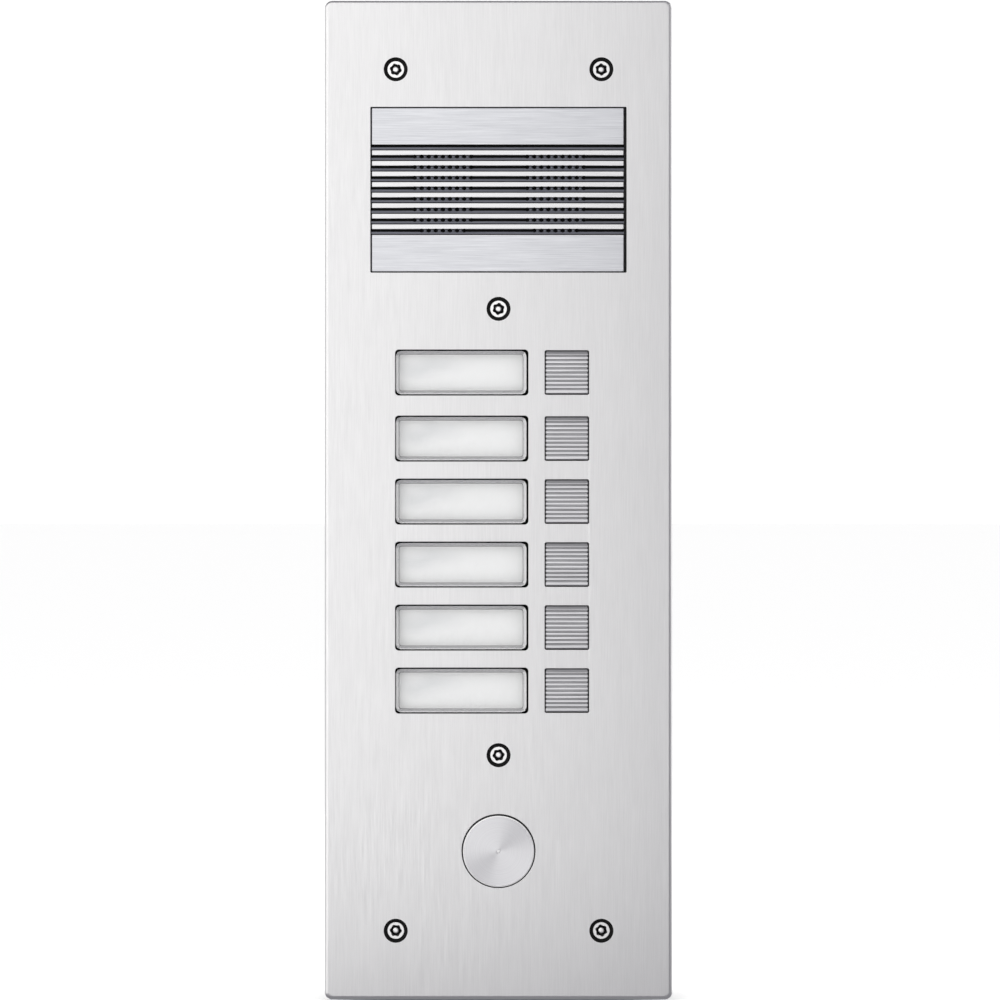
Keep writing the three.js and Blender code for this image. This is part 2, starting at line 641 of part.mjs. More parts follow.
addNode("front_plate", frontPlate(), MATERIAL.brushedSteel);
addNode("plate_gasket", plateGasket(), MATERIAL.rubber);
addNode("back_box", backBox(), MATERIAL.galvanised);
addNode("upper_bridge", bridge(SCREW.upperZ), MATERIAL.galvanised);
addNode("lower_bridge", bridge(SCREW.lowerZ), MATERIAL.galvanised);
addNode("cable_grommet", cableGrommet(), MATERIAL.rubber);
for (const [i, [x, z]] of SCREW_PLACES.entries()) {
  addNode(`security_screw_${i + 1}`, securityScrew(x, z), MATERIAL.screwSteel);
}

addNode("speaker_grille", speakerGrille(), MATERIAL.aluminium);
addNode("grille_membrane", membrane(), MATERIAL.cloth);
addNode("speech_carrier", speechCarrier(), MATERIAL.blackPlastic);
addNode("speaker_gasket", speakerGasket(), MATERIAL.rubber);
addNode("speaker_basket", speakerBasket(), MATERIAL.galvanised);
addNode("speaker_cone", speakerCone(), MATERIAL.cloth);
addNode("speaker_magnet", speakerMagnet(), MATERIAL.galvanised);
addNode("microphone_boot", microphoneBoot(), MATERIAL.rubber);
addNode("microphone_capsule", microphoneCapsule(), MATERIAL.aluminium);

addNode("call_carrier", callCarrier(), MATERIAL.greyPlastic);
addNode("light_guide", lightGuide(), MATERIAL.diffuser);
addNode("call_board", callBoard(), MATERIAL.board);
for (let row = 0; row < ROWS; row++) {
  const z = rowZ(row);
  addNode(`name_window_${row + 1}`, nameWindow(z), MATERIAL.clear);
  addNode(`name_card_${row + 1}`, nameCard(z), MATERIAL.paper);
  addNode(`call_button_${row + 1}`, callButton(z), MATERIAL.aluminium);
  addNode(`call_spring_${row + 1}`, callSpring(z), MATERIAL.springSteel);
}

addNode("light_button_cap", lightButtonCap(), MATERIAL.aluminium);
addNode("light_button_spring", lightButtonSpring(), MATERIAL.springSteel);
addNode("light_button_housing", lightButtonHousing(), MATERIAL.blackPlastic);
addNode("light_button_switch", lightButtonSwitch(), MATERIAL.blackPlastic);

addNode("main_board", mainBoard(), MATERIAL.board);
addNode("terminal_block", terminalBlock(), MATERIAL.terminal);
addNode("board_link_header", boardLink(), MATERIAL.blackPlastic);
addNode("speaker_lead", speakerLead(), MATERIAL.wire);
addNode("microphone_lead", microphoneLead(), MATERIAL.wire);
addNode("light_button_lead", lightButtonLead(), MATERIAL.wire);

export default group;
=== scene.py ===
"""The looks of a flush-mounted door intercom panel, in metres.

It has a brushed stainless plate, a louvred speech grille, clear name windows, ribbed call buttons, a spun
light button, security screws and a galvanised wall box behind them.
"""
import math

import bmesh
import bpy
from mathutils import Matrix, Vector
from mathutils.geometry import delaunay_2d_cdt


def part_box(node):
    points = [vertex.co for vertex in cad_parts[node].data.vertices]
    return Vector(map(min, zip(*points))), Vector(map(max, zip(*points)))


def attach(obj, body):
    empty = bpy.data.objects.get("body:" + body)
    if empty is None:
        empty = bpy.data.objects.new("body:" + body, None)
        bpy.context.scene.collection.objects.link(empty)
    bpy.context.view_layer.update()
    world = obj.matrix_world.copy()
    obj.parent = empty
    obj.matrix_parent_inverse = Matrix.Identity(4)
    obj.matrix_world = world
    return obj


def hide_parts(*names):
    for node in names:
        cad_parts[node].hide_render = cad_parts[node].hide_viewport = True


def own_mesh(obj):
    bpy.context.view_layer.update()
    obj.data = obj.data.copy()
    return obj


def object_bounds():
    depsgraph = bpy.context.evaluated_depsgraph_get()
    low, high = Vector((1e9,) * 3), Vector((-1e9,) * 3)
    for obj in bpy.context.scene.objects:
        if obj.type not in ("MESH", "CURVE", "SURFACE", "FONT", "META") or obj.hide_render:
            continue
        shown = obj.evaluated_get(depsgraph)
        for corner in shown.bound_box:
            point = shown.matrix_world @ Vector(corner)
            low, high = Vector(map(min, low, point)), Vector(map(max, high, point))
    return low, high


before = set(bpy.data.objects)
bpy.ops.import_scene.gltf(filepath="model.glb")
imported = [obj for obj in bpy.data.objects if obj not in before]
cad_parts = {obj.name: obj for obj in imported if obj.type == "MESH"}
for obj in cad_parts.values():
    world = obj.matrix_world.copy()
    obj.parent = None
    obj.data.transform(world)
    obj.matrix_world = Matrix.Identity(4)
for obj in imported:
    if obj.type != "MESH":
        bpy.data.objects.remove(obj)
CAD_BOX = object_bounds()

# ---- sizes ----

MM = 0.001
ROWS = range(1, 7)
SCREWS = range(1, 7)
CORNERS = [(side, up) for side in (-1, 1) for up in (-1, 1)]

PLATE_LOW, PLATE_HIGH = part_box("front_plate")
FRONT = PLATE_LOW.y
SHEET = 2 * MM
INNER = FRONT + SHEET
SHELF = INNER + 0.1 * MM  # where the flanges of windows, grille and buttons start behind the plate
WALL = 0.0
PLATE_CORNER = 2.6 * MM
SMALLEST_CORNER = 0.4 * MM
PLATE_ROLL = 1.35 * MM
HOLE_BREAK = 0.12 * MM  # rounding of the edges of cut openings

GRILLE_LOW, GRILLE_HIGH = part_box("speaker_grille")
GRILLE_FLANGE = 4 * MM
GRILLE_GAP = 0.3 * MM
GRILLE_CORNER = 0.35 * MM
GRILLE_SHADOW = 0.6 * MM  # how much wider the gap is on the right
GROOVES = 9
GROOVE = 1.95 * MM
LAND = 1.7 * MM
GROOVE_DEPTH = 2.2 * MM
GROOVE_LINE = 0.32 * MM  # the narrow slot at a groove's lower edge
GROOVE_SLOT = 0.86 * MM  # the deep slot at its upper edge

SOUND_X = (-19.2 * MM, 19.7 * MM)
SOUND_Z = 106.8 * MM
SOUND_HOLE = 0.66 * MM
SOUND_PITCH = 2.45 * MM
SOUND_PATCH = 17 * MM
SOUND_HALF_WIDTH = 12.5 * MM
SOUND_DROP = 0.43 * MM  # a drilled row's centre below its groove's upper edge
SOUND_WEB = 1.0 * MM

WINDOW_FLANGE = 1.5 * MM
WINDOW_GAP = 0.4 * MM
WINDOW_SHIFT = 0.25 * MM  # how far a lens stands left of the middle of its opening
WINDOW_CORNER = 1.3 * MM
WINDOW_BEVEL = 1.1 * MM
BUTTON_OPENING = 15.3 * MM
BUTTON_CORNER = 0.6 * MM
BUTTON_SIZE = 14.6 * MM
BUTTON_RAISE = 0.1 * MM  # how much further a call button reaches up than down
BUTTON_RIBS = 9
BUTTON_PITCH = 1.43 * MM
LIGHT_HOLE = 12.75 * MM
CAP_DROP = 0.12 * MM  # how far the light button's cap sits below the middle of its hole
LIGHT_CAP = 12.47 * MM
SINK = 4.15 * MM  # radius of a countersink at the plate's face

BOX_LOW, BOX_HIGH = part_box("back_box")
BOX_SHEET = 1.2 * MM
BOSS_OUTLINE = [(2.2, -1.5), (3.1, -1.8), (3.4, -1.5), (3.4, 6.7), (3.1, 7), (2.4, 7), (2.2, 6.8)]

# a spring's radius, the radius of its wire, its reach along Y and its number of open coils
CALL_COIL = (4.4 * MM, 0.3 * MM, (-0.6 * MM, 4.9 * MM), 3)
LIGHT_COIL = (8 * MM, 0.45 * MM, (-0.3 * MM, 11.9 * MM), 4)

STAR_MEAN = 1.95 * MM
STAR_LOBE = 0.17 * MM
SCREW_HEAD = 2.95 * MM
SCREW_THREAD = 1.95 * MM
SCREW_ROOT = 1.62 * MM
SCREW_PITCH = 0.7 * MM
SCREW_PIN = 0.95 * MM

# in millimetres, like the other numbers of the boards
BOARD_POSTS = [(x, z) for x in (-43, 40) for z in (-72, 50)]


def middle(node):
    """The centre (x, z) of a CAD node, seen from the front."""
    low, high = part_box(node)
    return (low.x + high.x) / 2, (low.z + high.z) / 2


LIGHT_CENTRE = middle("light_button_cap")
GROMMET_CENTRE = middle("cable_grommet")

SURROUNDINGS = (1.1, 1.1, 1.1)
REFLECTED_SURROUNDINGS = (0.268, 0.264, 0.284)
PICTURE_SIDE = 1.0006 * (PLATE_HIGH.z - PLATE_LOW.z)  # a little more than the plate's height
CAMERA_DISTANCE = 2.0
CAMERA_SIDEWAYS = 0.5 * MM
SENSOR = 36  # width of the camera's sensor in millimetres


# ---- outlines, as lists of (x, z), anticlockwise ----


def turns(count):
    """The angles of the points round a circle."""
    return [2 * math.pi * i / count for i in range(count)]


def circle(centre, radius, count=64):
    return [(centre[0] + radius * math.cos(a), centre[1] + radius * math.sin(a)) for a in turns(count)]


def rounded(centre, width, height, radius, steps=8):
    """A rectangle with round corners."""
    points = []
    for quarter, (side, up) in enumerate([(1, 1), (-1, 1), (-1, -1), (1, -1)]):
        corner_x = centre[0] + side * (width / 2 - radius)
        corner_z = centre[1] + up * (height / 2 - radius)
        for i in range(steps + 1):
            angle = math.pi / 2 * (quarter + i / steps)
            points.append((corner_x + radius * math.cos(angle), corner_z + radius * math.sin(angle)))
    return points


# ---- mesh building ----


def loft(mesh, *rings):
    """Joins each ring of vertices to the next, and returns the new faces."""
    made = []
    for first, second in zip(rings, rings[1:]):
        for i, vertex in enumerate(first):
            j = (i + 1) % len(first)
            made.append(mesh.faces.new((vertex, first[j], second[j], second[i])))
    return made


def outward(mesh):
    """Turns the faces of a closed mesh to the outside."""
    bmesh.ops.recalc_face_normals(mesh, faces=mesh.faces)
    return mesh


def paint(faces, finish):
    """Gives faces one of their piece's materials, by its place in the list."""
    for face in faces:
        face.material_index = finish


def encloses(ring, place):
    """Whether a flat ring of points goes round a place (x, z)."""
    odd = False
    for first, second in zip(ring, ring[1:] + ring[:1]):
        a, b = first.co.xz, second.co.xz
        if (a.y > place.y) != (b.y > place.y):
            odd ^= place.x < a.x + (b.x - a.x) * (place.y - a.y) / (b.y - a.y)
    return odd


class Skin:
    """A closed mesh of rings of points, joined by walls and closed by flat faces."""

    def __init__(self):
        self.mesh = bmesh.new()

    def ring(self, outline, y):
        return [self.mesh.verts.new((x, y, z)) for x, z in outline]

    def wall(self, *rings):
        return loft(self.mesh, *rings)

    def face(self, *rings):
        """One flat face inside the first ring, with the other rings as holes in it."""
        points = [vertex for ring in rings for vertex in ring]
        flat = [vertex.co.xz / MM for vertex in points]
        owner = [i for i, ring in enumerate(rings) for _ in ring]
        edges = []
        for ring in rings:
            start = len(edges)
            edges += [(start + i, start + (i + 1) % len(ring)) for i in range(len(ring))]
        _, _, triangles, sources, _, _ = delaunay_2d_cdt(flat, edges, [], 1, 1e-6)
        made = []
        for triangle in triangles:
            corners = [sources[i][0] for i in triangle]
            owners = {owner[i] for i in corners}
            centre = sum((flat[i] for i in corners), Vector((0, 0))) / 3
            in_hole = len(owners) == 1 and owners != {0} and encloses(rings[owners.pop()], centre * MM)
            if not in_hole:
                made.append(self.mesh.faces.new([points[i] for i in corners]))
        return made

    def point(self, ring, x, y, z):
        """Closes a ring with a fan to one point."""
        tip = self.mesh.verts.new((x, y, z))
        for i, vertex in enumerate(ring):
            self.mesh.faces.new((vertex, ring[(i + 1) % len(ring)], tip))

    def piece(self, name, material, node, slot, sharp=35, body="housing", place=(0, 0, 0)):
        return add_piece(name, outward(self.mesh), material, node, sharp, body, place)


def to_object(name, mesh):
    data = bpy.data.meshes.new(name)
    mesh.to_mesh(data)
    mesh.free()
    made = bpy.data.objects.new(name, data)
    bpy.context.scene.collection.objects.link(made)
    return made


def add_piece(name, mesh, material, node, sharp=35, body="housing", place=(0, 0, 0)):
    """Makes an object of a bmesh, shades it and puts it on its CAD body, in place of a CAD node if given.

    Edges sharper than the angle sharp, in degrees, stay sharp.
    """
    made = to_object(name, mesh)
    made.location = place
    for polygon in made.data.polygons:
        polygon.use_smooth = True
    made.data.set_sharp_from_angle(angle=math.radians(sharp))
    for each in material if isinstance(material, list) else [material]:
        made.data.materials.append(each)
    weighted = made.modifiers.new("normals", "WEIGHTED_NORMAL")
    weighted.keep_sharp = True
    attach(made, body)
    if node:
        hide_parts(node)
    return made


def stand_in(node, suffix, mesh, material, sharp=35, body="housing"):
    """Adds the visible piece that replaces a CAD node and is named after it."""
    return add_piece(f"{node}_{suffix}", mesh, material, node, sharp, body)


def carve(mesh, cutter):
    """A mesh less another one. Both are used up."""
    solid, tool = to_object("solid", mesh), to_object("tool", cutter)
    change = solid.modifiers.new("carve", "BOOLEAN")
    change.operation = "DIFFERENCE"
    change.solver = "EXACT"
    change.object = tool
    carved = bmesh.new()
    carved.from_object(solid, bpy.context.evaluated_depsgraph_get())
    for each in (solid, tool):
        data = each.data
        bpy.data.objects.remove(each)
        bpy.data.meshes.remove(data)
    return carved


def join(mesh, other, finish=0):
    """Adds the faces of another mesh, which is used up, with one finish."""
    data = bpy.data.meshes.new("joined")
    paint(other.faces, finish)
    other.to_mesh(data)
    other.free()
    mesh.from_mesh(data)
    bpy.data.meshes.remove(data)
    return mesh


def block(low, high, ease=0.0):
    """A box between two corners, with its edges rounded."""
    made = bmesh.new()
    size = Vector(high) - Vector(low)
    place = Matrix.Translation((Vector(high) + Vector(low)) / 2) @ Matrix.Diagonal((*size, 1))
    bmesh.ops.create_cube(made, size=1, matrix=place)
    if ease:
        bmesh.ops.bevel(made, geom=made.edges, offset=ease, segments=2, profile=0.5, affect="EDGES")
    return made


def turned(centre, outline, count=96):
    """A body of revolution about an axis along Y, from (radius, y) points.

    They start and end on the axis, or the last joins the first.
    """
    skin = Skin()
    rings = [skin.ring(circle(centre, radius, count), y) for radius, y in outline if radius > 1e-7]
    skin.wall(*rings)
    if outline[0][0] <= 1e-7:
        skin.point(rings[0], centre[0], outline[0][1], centre[1])
        skin.point(rings[-1], centre[0], outline[-1][1], centre[1])
    else:
        skin.wall(rings[-1], rings[0])
    outward(skin.mesh)
    return skin


# ---- materials ----


class Look:
    """A Principled material and short ways to feed its sockets."""

    def __init__(self, name, **settings):
        self.material = bpy.data.materials.new(name)
        self.material.use_nodes = True
        self.tree = self.material.node_tree
        self.shader = self.tree.nodes["Principled BSDF"]
        for key, value in settings.items():
            self.shader.inputs[key.replace("_", " ")].default_value = value

    def node(self, kind, settings=None, *by_place, **by_name):
        """A new shader node. Each input is a plain value or another node's output."""
        made = self.tree.nodes.new("ShaderNode" + kind)
        for key, value in (settings or {}).items():
            setattr(made, key, value)
        inputs = [*enumerate(by_place), *((key.replace("_", " "), value) for key, value in by_name.items())]
        for key, value in inputs:
            self.put(made.inputs[key], value)
        return made

    def put(self, socket, value):
        """Links a node's output to a socket, or sets the socket's own value."""
        if isinstance(value, bpy.types.NodeSocket):
            self.tree.links.new(value, socket)
        else:
            socket.default_value = value

    def feed(self, socket, value):
        """Links a node's output to one of the shader's sockets."""
        self.tree.links.new(value, self.shader.inputs[socket])

    def here(self):
        """Object coordinates."""
        return self.node("TexCoord").outputs["Object"]

    def place(self, scale):
        """Object coordinates, stretched."""
        return self.node("Mapping", Vector=self.here(), Scale=scale).outputs["Vector"]

    def noise(self, scale, detail=3, roughness=0.55):
        made = self.node("TexNoise", Vector=self.place(scale), Scale=1, Detail=detail, Roughness=roughness)
        return made.outputs["Fac"]

    def spread(self, value, low, high):
        """Maps a noise, which stays near its middle, to a range."""
        made = self.node("MapRange", Value=value, From_Min=0.3, From_Max=0.7, To_Min=low, To_Max=high)
        return made.outputs["Result"]

    def mix(self, share, first, second, kind="RGBA"):
        """Blends two colours, or two numbers if kind is FLOAT."""
        made = self.node("Mix", {"data_type": kind})
        first_place = 6 if kind == "RGBA" else 2
        for place, value in ((0, share), (first_place, first), (first_place + 1, second)):
            self.put(made.inputs[place], value)
        return made.outputs[2 if kind == "RGBA" else 0]

    def tint(self, value, dark, light):
        """A colour between two as value goes from 0 to 1."""
        return self.mix(value, (*dark, 1), (*light, 1))

    def bump(self, height, strength, distance):
        made = self.node("Bump", Height=height, Strength=strength, Distance=distance)
        self.feed("Normal", made.outputs["Normal"])


UP, ACROSS = (0, 0, 1), (1, 0, 0)


def brushed(name, dark, light, roughness, grain, anisotropic=0.5, tangent=UP):
    """Metal with a straight grain.

    grain is the noise's scale per metre along each axis, and tangent is the direction across it.
    """
    look = Look(name, Metallic=1, Anisotropic=anisotropic)
    fine = look.noise(grain, detail=4, roughness=0.7)
    look.feed("Base Color", look.tint(look.spread(fine, 0, 1), dark, light))
    look.feed("Roughness", look.spread(fine, roughness * 1.12, roughness * 0.88))
    look.bump(fine, 0.12, 0.02 * MM)
    look.feed("Tangent", look.node("CombineXYZ", None, *tangent).outputs["Vector"])
    return look.material


def spun(name, dark, light, roughness, centre):
    """Metal turned on a lathe: rings about an axis along Y, with highlights that run out from the middle."""
    look = Look(name, Metallic=1, Roughness=roughness, Anisotropic=0.85, Anisotropic_Rotation=0.25)
    axis = (centre[0], 0, centre[1])
    offset = look.node("VectorMath", {"operation": "SUBTRACT"}, look.here(), axis).outputs["Vector"]
    parts = look.node("SeparateXYZ", Vector=offset)
    flat = look.node("CombineXYZ", X=parts.outputs["X"], Z=parts.outputs["Z"]).outputs["Vector"]
    radius = look.node("VectorMath", {"operation": "LENGTH"}, flat).outputs["Value"]
    rings = look.node("TexNoise", {"noise_dimensions": "1D"}, W=radius, Scale=5000, Detail=3).outputs["Fac"]
    look.feed("Base Color", look.tint(look.spread(rings, 0, 1), dark, light))
    look.bump(rings, 0.1, 0.01 * MM)
    around_axis = look.node("VectorMath", {"operation": "CROSS_PRODUCT"}, flat, (0, 1, 0))
    look.feed("Tangent", around_axis.outputs["Vector"])
    return look.material


def turned_metal(name, dark, light, roughness):
    """Machined metal with a fine, even tool finish."""
    look = Look(name, Metallic=1)
    fine = look.noise((4000, 4000, 4000), detail=3)
    look.feed("Base Color", look.tint(look.spread(fine, 0, 1), dark, light))
    look.feed("Roughness", look.spread(fine, roughness * 1.15, roughness * 0.85))
    look.bump(fine, 0.08, 0.01 * MM)
    return look.material


def galvanised(name):
    """Zinc-coated sheet: soft-edged spangle of many greys, and a dull bloom."""
    look = Look(name, Metallic=1)
    spangle = look.node("TexVoronoi", Vector=look.place((150, 150, 150)), Scale=1, Randomness=1)
    crystals = look.node("SeparateColor", Color=spangle.outputs["Color"]).outputs["Red"]
    bloom = look.noise((60, 60, 60), detail=8)
    value = look.mix(0.62, crystals, bloom, "FLOAT")
    look.feed("Base Color", look.tint(value, (0.50, 0.52, 0.54), (0.70, 0.72, 0.74)))
    look.feed("Roughness", look.spread(value, 0.55, 0.36))
    look.bump(value, 0.15, 0.05 * MM)
    return look.material


def moulded(name, dark, light, roughness, texture=9000):
    """Injection-moulded plastic or rubber with a fine spark texture."""
    look = Look(name)
    fine = look.noise((texture,) * 3, detail=2)
    broad = look.noise((60,) * 3, detail=4)
    look.feed("Base Color", look.tint(look.spread(broad, 0, 1), dark, light))
    look.feed("Roughness", look.spread(broad, roughness * 0.9, roughness * 1.1))
    look.bump(fine, 0.3, 0.03 * MM)
    return look.material


def clear(name, alpha, base, roughness, metallic=0.0):
    """Clear acrylic, thin enough to see straight through."""
    look = Look(name, Base_Color=(*base, 1), Roughness=roughness, Metallic=metallic, IOR=1.49, Alpha=alpha)
    look.bump(look.noise((70, 70, 70), detail=1), 0.15, 0.3 * MM)
    return look.material


def recess(name):
    """Near-black painted shade, for the shade deep in a narrow recess or gap."""
    look = Look(name, Base_Color=(0.006, 0.006, 0.006, 1), Roughness=0.6, Specular_IOR_Level=0.1)
    return look.material


def paper(name):
    """Matt card with a painted reflection: a faint darker patch on the left. The card's own middle is the
    origin.
    """
    look = Look(name, Roughness=0.9)
    fibres = look.noise((900, 900, 350), detail=6, roughness=0.65)
    wander = look.node("TexNoise", Vector=look.place((70, 70, 70)), Scale=1, Detail=2).outputs["Color"]
    reach = (8 * MM, 0, 8 * MM)
    shift = look.node("VectorMath", {"operation": "MULTIPLY_ADD"}, wander, reach, look.here())
    painted_reflection_place = look.node(
        "Mapping",
        Vector=shift.outputs["Vector"],
        Location=(0.35, 0, -1.55),
        Rotation=(0, math.radians(8), 0),
        Scale=(62, 62, 260),
    )
    # painted reflection: a soft darker patch mixed into the card's colour
    painted_reflection = look.node("TexGradient", {"gradient_type": "SPHERICAL"}, Vector=painted_reflection_place.outputs["Vector"])
    plain = look.tint(look.spread(fibres, 0, 1), (0.53, 0.53, 0.535), (0.59, 0.59, 0.595))
    look.feed("Base Color", look.mix(painted_reflection.outputs["Fac"], plain, (0.42, 0.425, 0.44, 1)))
    look.bump(fibres, 0.2, 0.02 * MM)
    return look.material


def laminate(name):
    """Solder-masked laminate with its copper tracks showing faintly through."""
    look = Look(name, Roughness=0.28, Coat_Weight=0.5, Coat_Roughness=0.12)
    tracks = look.node(
        "TexBrick",
        {"offset": 0.3, "squash": 0.6, "squash_frequency": 3},
        Vector=look.place((1, 1, 1)),
        Scale=240,
        Color1=(0.010, 0.13, 0.055, 1),
        Color2=(0.014, 0.17, 0.075, 1),
        Mortar=(0.006, 0.085, 0.035, 1),
        Mortar_Size=0.03,
    )
    look.feed("Base Color", tracks.outputs["Color"])
    look.bump(tracks.outputs["Fac"], 0.3, 0.03 * MM)
    return look.material


def woven(name, dark, light, threads):
    """Fine plain-woven cloth. threads is the number of threads per metre."""
    look = Look(name, Roughness=0.95, Sheen_Weight=0.2)
    yarns = []
    for way in "XZ":
        bands = {"wave_type": "BANDS", "bands_direction": way}
        yarn = look.node("TexWave", bands, Vector=look.place((1, 1, 1)), Scale=threads / 3.2)
        yarns.append(yarn.outputs["Fac"])
    weave = look.node("Math", {"operation": "MULTIPLY"}, *yarns).outputs[0]
    look.feed("Base Color", look.tint(weave, dark, light))
    look.bump(weave, 0.5, 0.08 * MM)
    return look.material


LONG_GRAIN = (60, 3200, 3200)
SHORT_GRAIN = (60, 2600, 2600)
GROOVE_GRAIN = (45, 2600, 2600)
PLATE_GRAIN = (3600, 3600, 90)
STEEL = brushed("plate_steel", (0.775, 0.775, 0.78), (0.835, 0.835, 0.84), 0.34, PLATE_GRAIN, 0.55, ACROSS)
GRILLE_METAL = brushed("grille_aluminium", (0.57, 0.58, 0.61), (0.73, 0.74, 0.77), 0.32, LONG_GRAIN)
LAND_METAL = brushed("louvre_aluminium", (0.70, 0.70, 0.715), (0.78, 0.78, 0.795), 0.28, LONG_GRAIN)
# painted shade: a dark copy of the louvre aluminium, for the shade in the grooves and on the webs between
# the sound holes
GROOVE_PAINTED_SHADE = brushed("groove_aluminium_painted_shade", (0.14, 0.145, 0.17), (0.21, 0.215, 0.25), 0.45, GROOVE_GRAIN, 0.3)
BUTTON_METAL = brushed("button_aluminium", (0.60, 0.60, 0.62), (0.74, 0.74, 0.76), 0.3, SHORT_GRAIN)
# painted shade: a darker copy of the button aluminium for the grooves and the top slope
BUTTON_GROOVE_PAINTED_SHADE = brushed("button_groove_painted_shade", (0.34, 0.34, 0.35), (0.46, 0.46, 0.48), 0.35, SHORT_GRAIN, 0.3)
CAP_METAL = spun("spun_aluminium", (0.72, 0.72, 0.74), (0.82, 0.82, 0.84), 0.30, LIGHT_CENTRE)
SCREW_STEEL = turned_metal("screw_steel", (0.88, 0.88, 0.88), (0.95, 0.95, 0.95), 0.3)
RIM_METAL = turned_metal("turned_rim", (0.86, 0.86, 0.87), (0.95, 0.95, 0.95), 0.35)
# painted shade: near-black for the shade in screw recesses, countersinks, gaps and slots
SCREW_PAINTED_SHADE = recess("screw_recess_painted_shade")
PAINTED_SHADE_BLACK = recess("countersink")
ZINC = galvanised("zinc_sheet")
RUBBER = moulded("black_rubber", (0.012, 0.012, 0.013), (0.02, 0.02, 0.021), 0.75, 4000)
BLACK = moulded("black_moulding", (0.018, 0.018, 0.02), (0.03, 0.03, 0.032), 0.5)
GREY = moulded("grey_moulding", (0.10, 0.105, 0.11), (0.14, 0.145, 0.15), 0.5)
OPAL = moulded("opal_moulding", (0.80, 0.79, 0.76), (0.86, 0.85, 0.82), 0.4)
ACRYLIC = clear("clear_acrylic", 0.14, (0.9, 0.91, 0.92), 0.05)
ACRYLIC_EDGE = clear("acrylic_bevel", 0.65, (0.80, 0.80, 0.81), 0.25, 0.8)
# painted shade: a dark, half-clear line at the root of each window's bevel
ACRYLIC_PAINTED_SHADE_LINE = clear("acrylic_root_painted_shade", 0.6, (0.12, 0.12, 0.125), 0.3)
CARD = paper("name_card_paper")
STUD_STEEL = turned_metal("zinc_plated_studs", (0.55, 0.56, 0.56), (0.68, 0.69, 0.68), 0.35)
SPRING_STEEL = turned_metal("spring_wire", (0.50, 0.50, 0.50), (0.62, 0.62, 0.62), 0.3)
CAN_METAL = turned_metal("capacitor_can", (0.62, 0.63, 0.64), (0.72, 0.73, 0.74), 0.3)
RED_WIRE = moulded("red_wire", (0.42, 0.03, 0.03), (0.50, 0.05, 0.04), 0.45)
WHITE_PLASTIC = moulded("white_moulding", (0.72, 0.71, 0.67), (0.80, 0.79, 0.75), 0.45)
TERMINAL_GREEN = moulded("green_moulding", (0.02, 0.22, 0.08), (0.03, 0.28, 0.11), 0.45)
LAMINATE = laminate("green_laminate")
CONE_PAPER = moulded("speaker_cone_paper", (0.02, 0.02, 0.02), (0.035, 0.035, 0.035), 0.9, 2500)
MEMBRANE = woven("membrane_cloth", (0.012, 0.012, 0.013), (0.03, 0.03, 0.032), 2200)
FLOOR = Look("floor_white", Base_Color=(0.97, 0.97, 0.97, 1), Roughness=0.9).material


# ---- front plate ----


def plate_openings():
    """The plate's holes except the countersinks, each as a function from a margin to an outline."""

    def grow(centre, width, height, radius):
        return lambda margin: rounded(centre, width + 2 * margin, height + 2 * margin, radius + margin)

    grille_height = GRILLE_HIGH.z - GRILLE_LOW.z - 2 * GRILLE_FLANGE + 2 * GRILLE_GAP
    grille_width = GRILLE_HIGH.x - GRILLE_LOW.x + 2 * GRILLE_GAP
    openings = [grow(middle("speaker_grille"), grille_width, grille_height, GRILLE_CORNER)]
    for row in ROWS:
        openings.append(grow(middle(f"name_window_{row}"), *window_size(), WINDOW_CORNER))
        openings.append(grow(middle(f"call_button_{row}"), BUTTON_OPENING, BUTTON_OPENING, BUTTON_CORNER))
    openings.append(lambda margin: circle(LIGHT_CENTRE, LIGHT_HOLE + margin, 128))
    return openings


def window_size():
    """Width and height of the plate's opening for a name window."""
    low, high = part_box("name_window_1")
    return high.x - low.x - 2 * WINDOW_FLANGE, high.z - low.z - 2 * WINDOW_FLANGE


def broken_edge(outline, y, radius, steps=3):
    """(outline, y) of the rings that round a front edge. outline is a function of a margin."""
    for i in range(steps + 1):
        angle = math.pi / 2 * i / steps
        yield outline(radius * (1 - math.sin(angle))), y + radius * (1 - math.cos(angle))


def front_plate():
    skin = Skin()
    width, height = PLATE_HIGH.x - PLATE_LOW.x, PLATE_HIGH.z - PLATE_LOW.z

    def outline(inset):
        radius = max(PLATE_CORNER - inset, SMALLEST_CORNER)
        return rounded((0, 0), width - 2 * inset, height - 2 * inset, radius, 12)

    roll = [skin.ring(*ring) for ring in broken_edge(outline, FRONT, PLATE_ROLL, 10)]
    break_size = 0.15 * MM
    rim = [
        skin.ring(outline(break_size * (1 - math.cos(turn))), WALL - break_size * (1 - math.sin(turn)))
        for turn in (0, math.pi / 4, math.pi / 2)
    ]
    inner = [skin.ring(outline(SHEET), WALL), skin.ring(outline(SHEET), INNER)]
    skin.wall(*roll, *rim, *inner)

    fronts, backs, dark = [], [], []
    for grown in plate_openings():
        edge = [skin.ring(*ring) for ring in broken_edge(grown, FRONT, HOLE_BREAK)]
        backs.append(skin.ring(grown(0), INNER))
        skin.wall(*edge)
        dark += skin.wall(edge[-1], backs[-1])
        fronts.append(edge[0])
    for screw in SCREWS:
        place = middle(f"security_screw_{screw}")
        fronts.append(skin.ring(circle(place, SINK), FRONT))
        backs.append(skin.ring(circle(place, SINK - SHEET), INNER))
        dark += skin.wall(fronts[-1], backs[-1])
    # painted shade: the walls of the openings and the countersink cones are near-black, for the shade deep
    # in them
    paint(dark, 1)
    skin.face(roll[0], *fronts)
    skin.face(inner[-1], *backs)
    skin.piece("front_plate_sheet", [STEEL, PAINTED_SHADE_BLACK], "front_plate", "brushed_steel")


# ---- speech grille ----


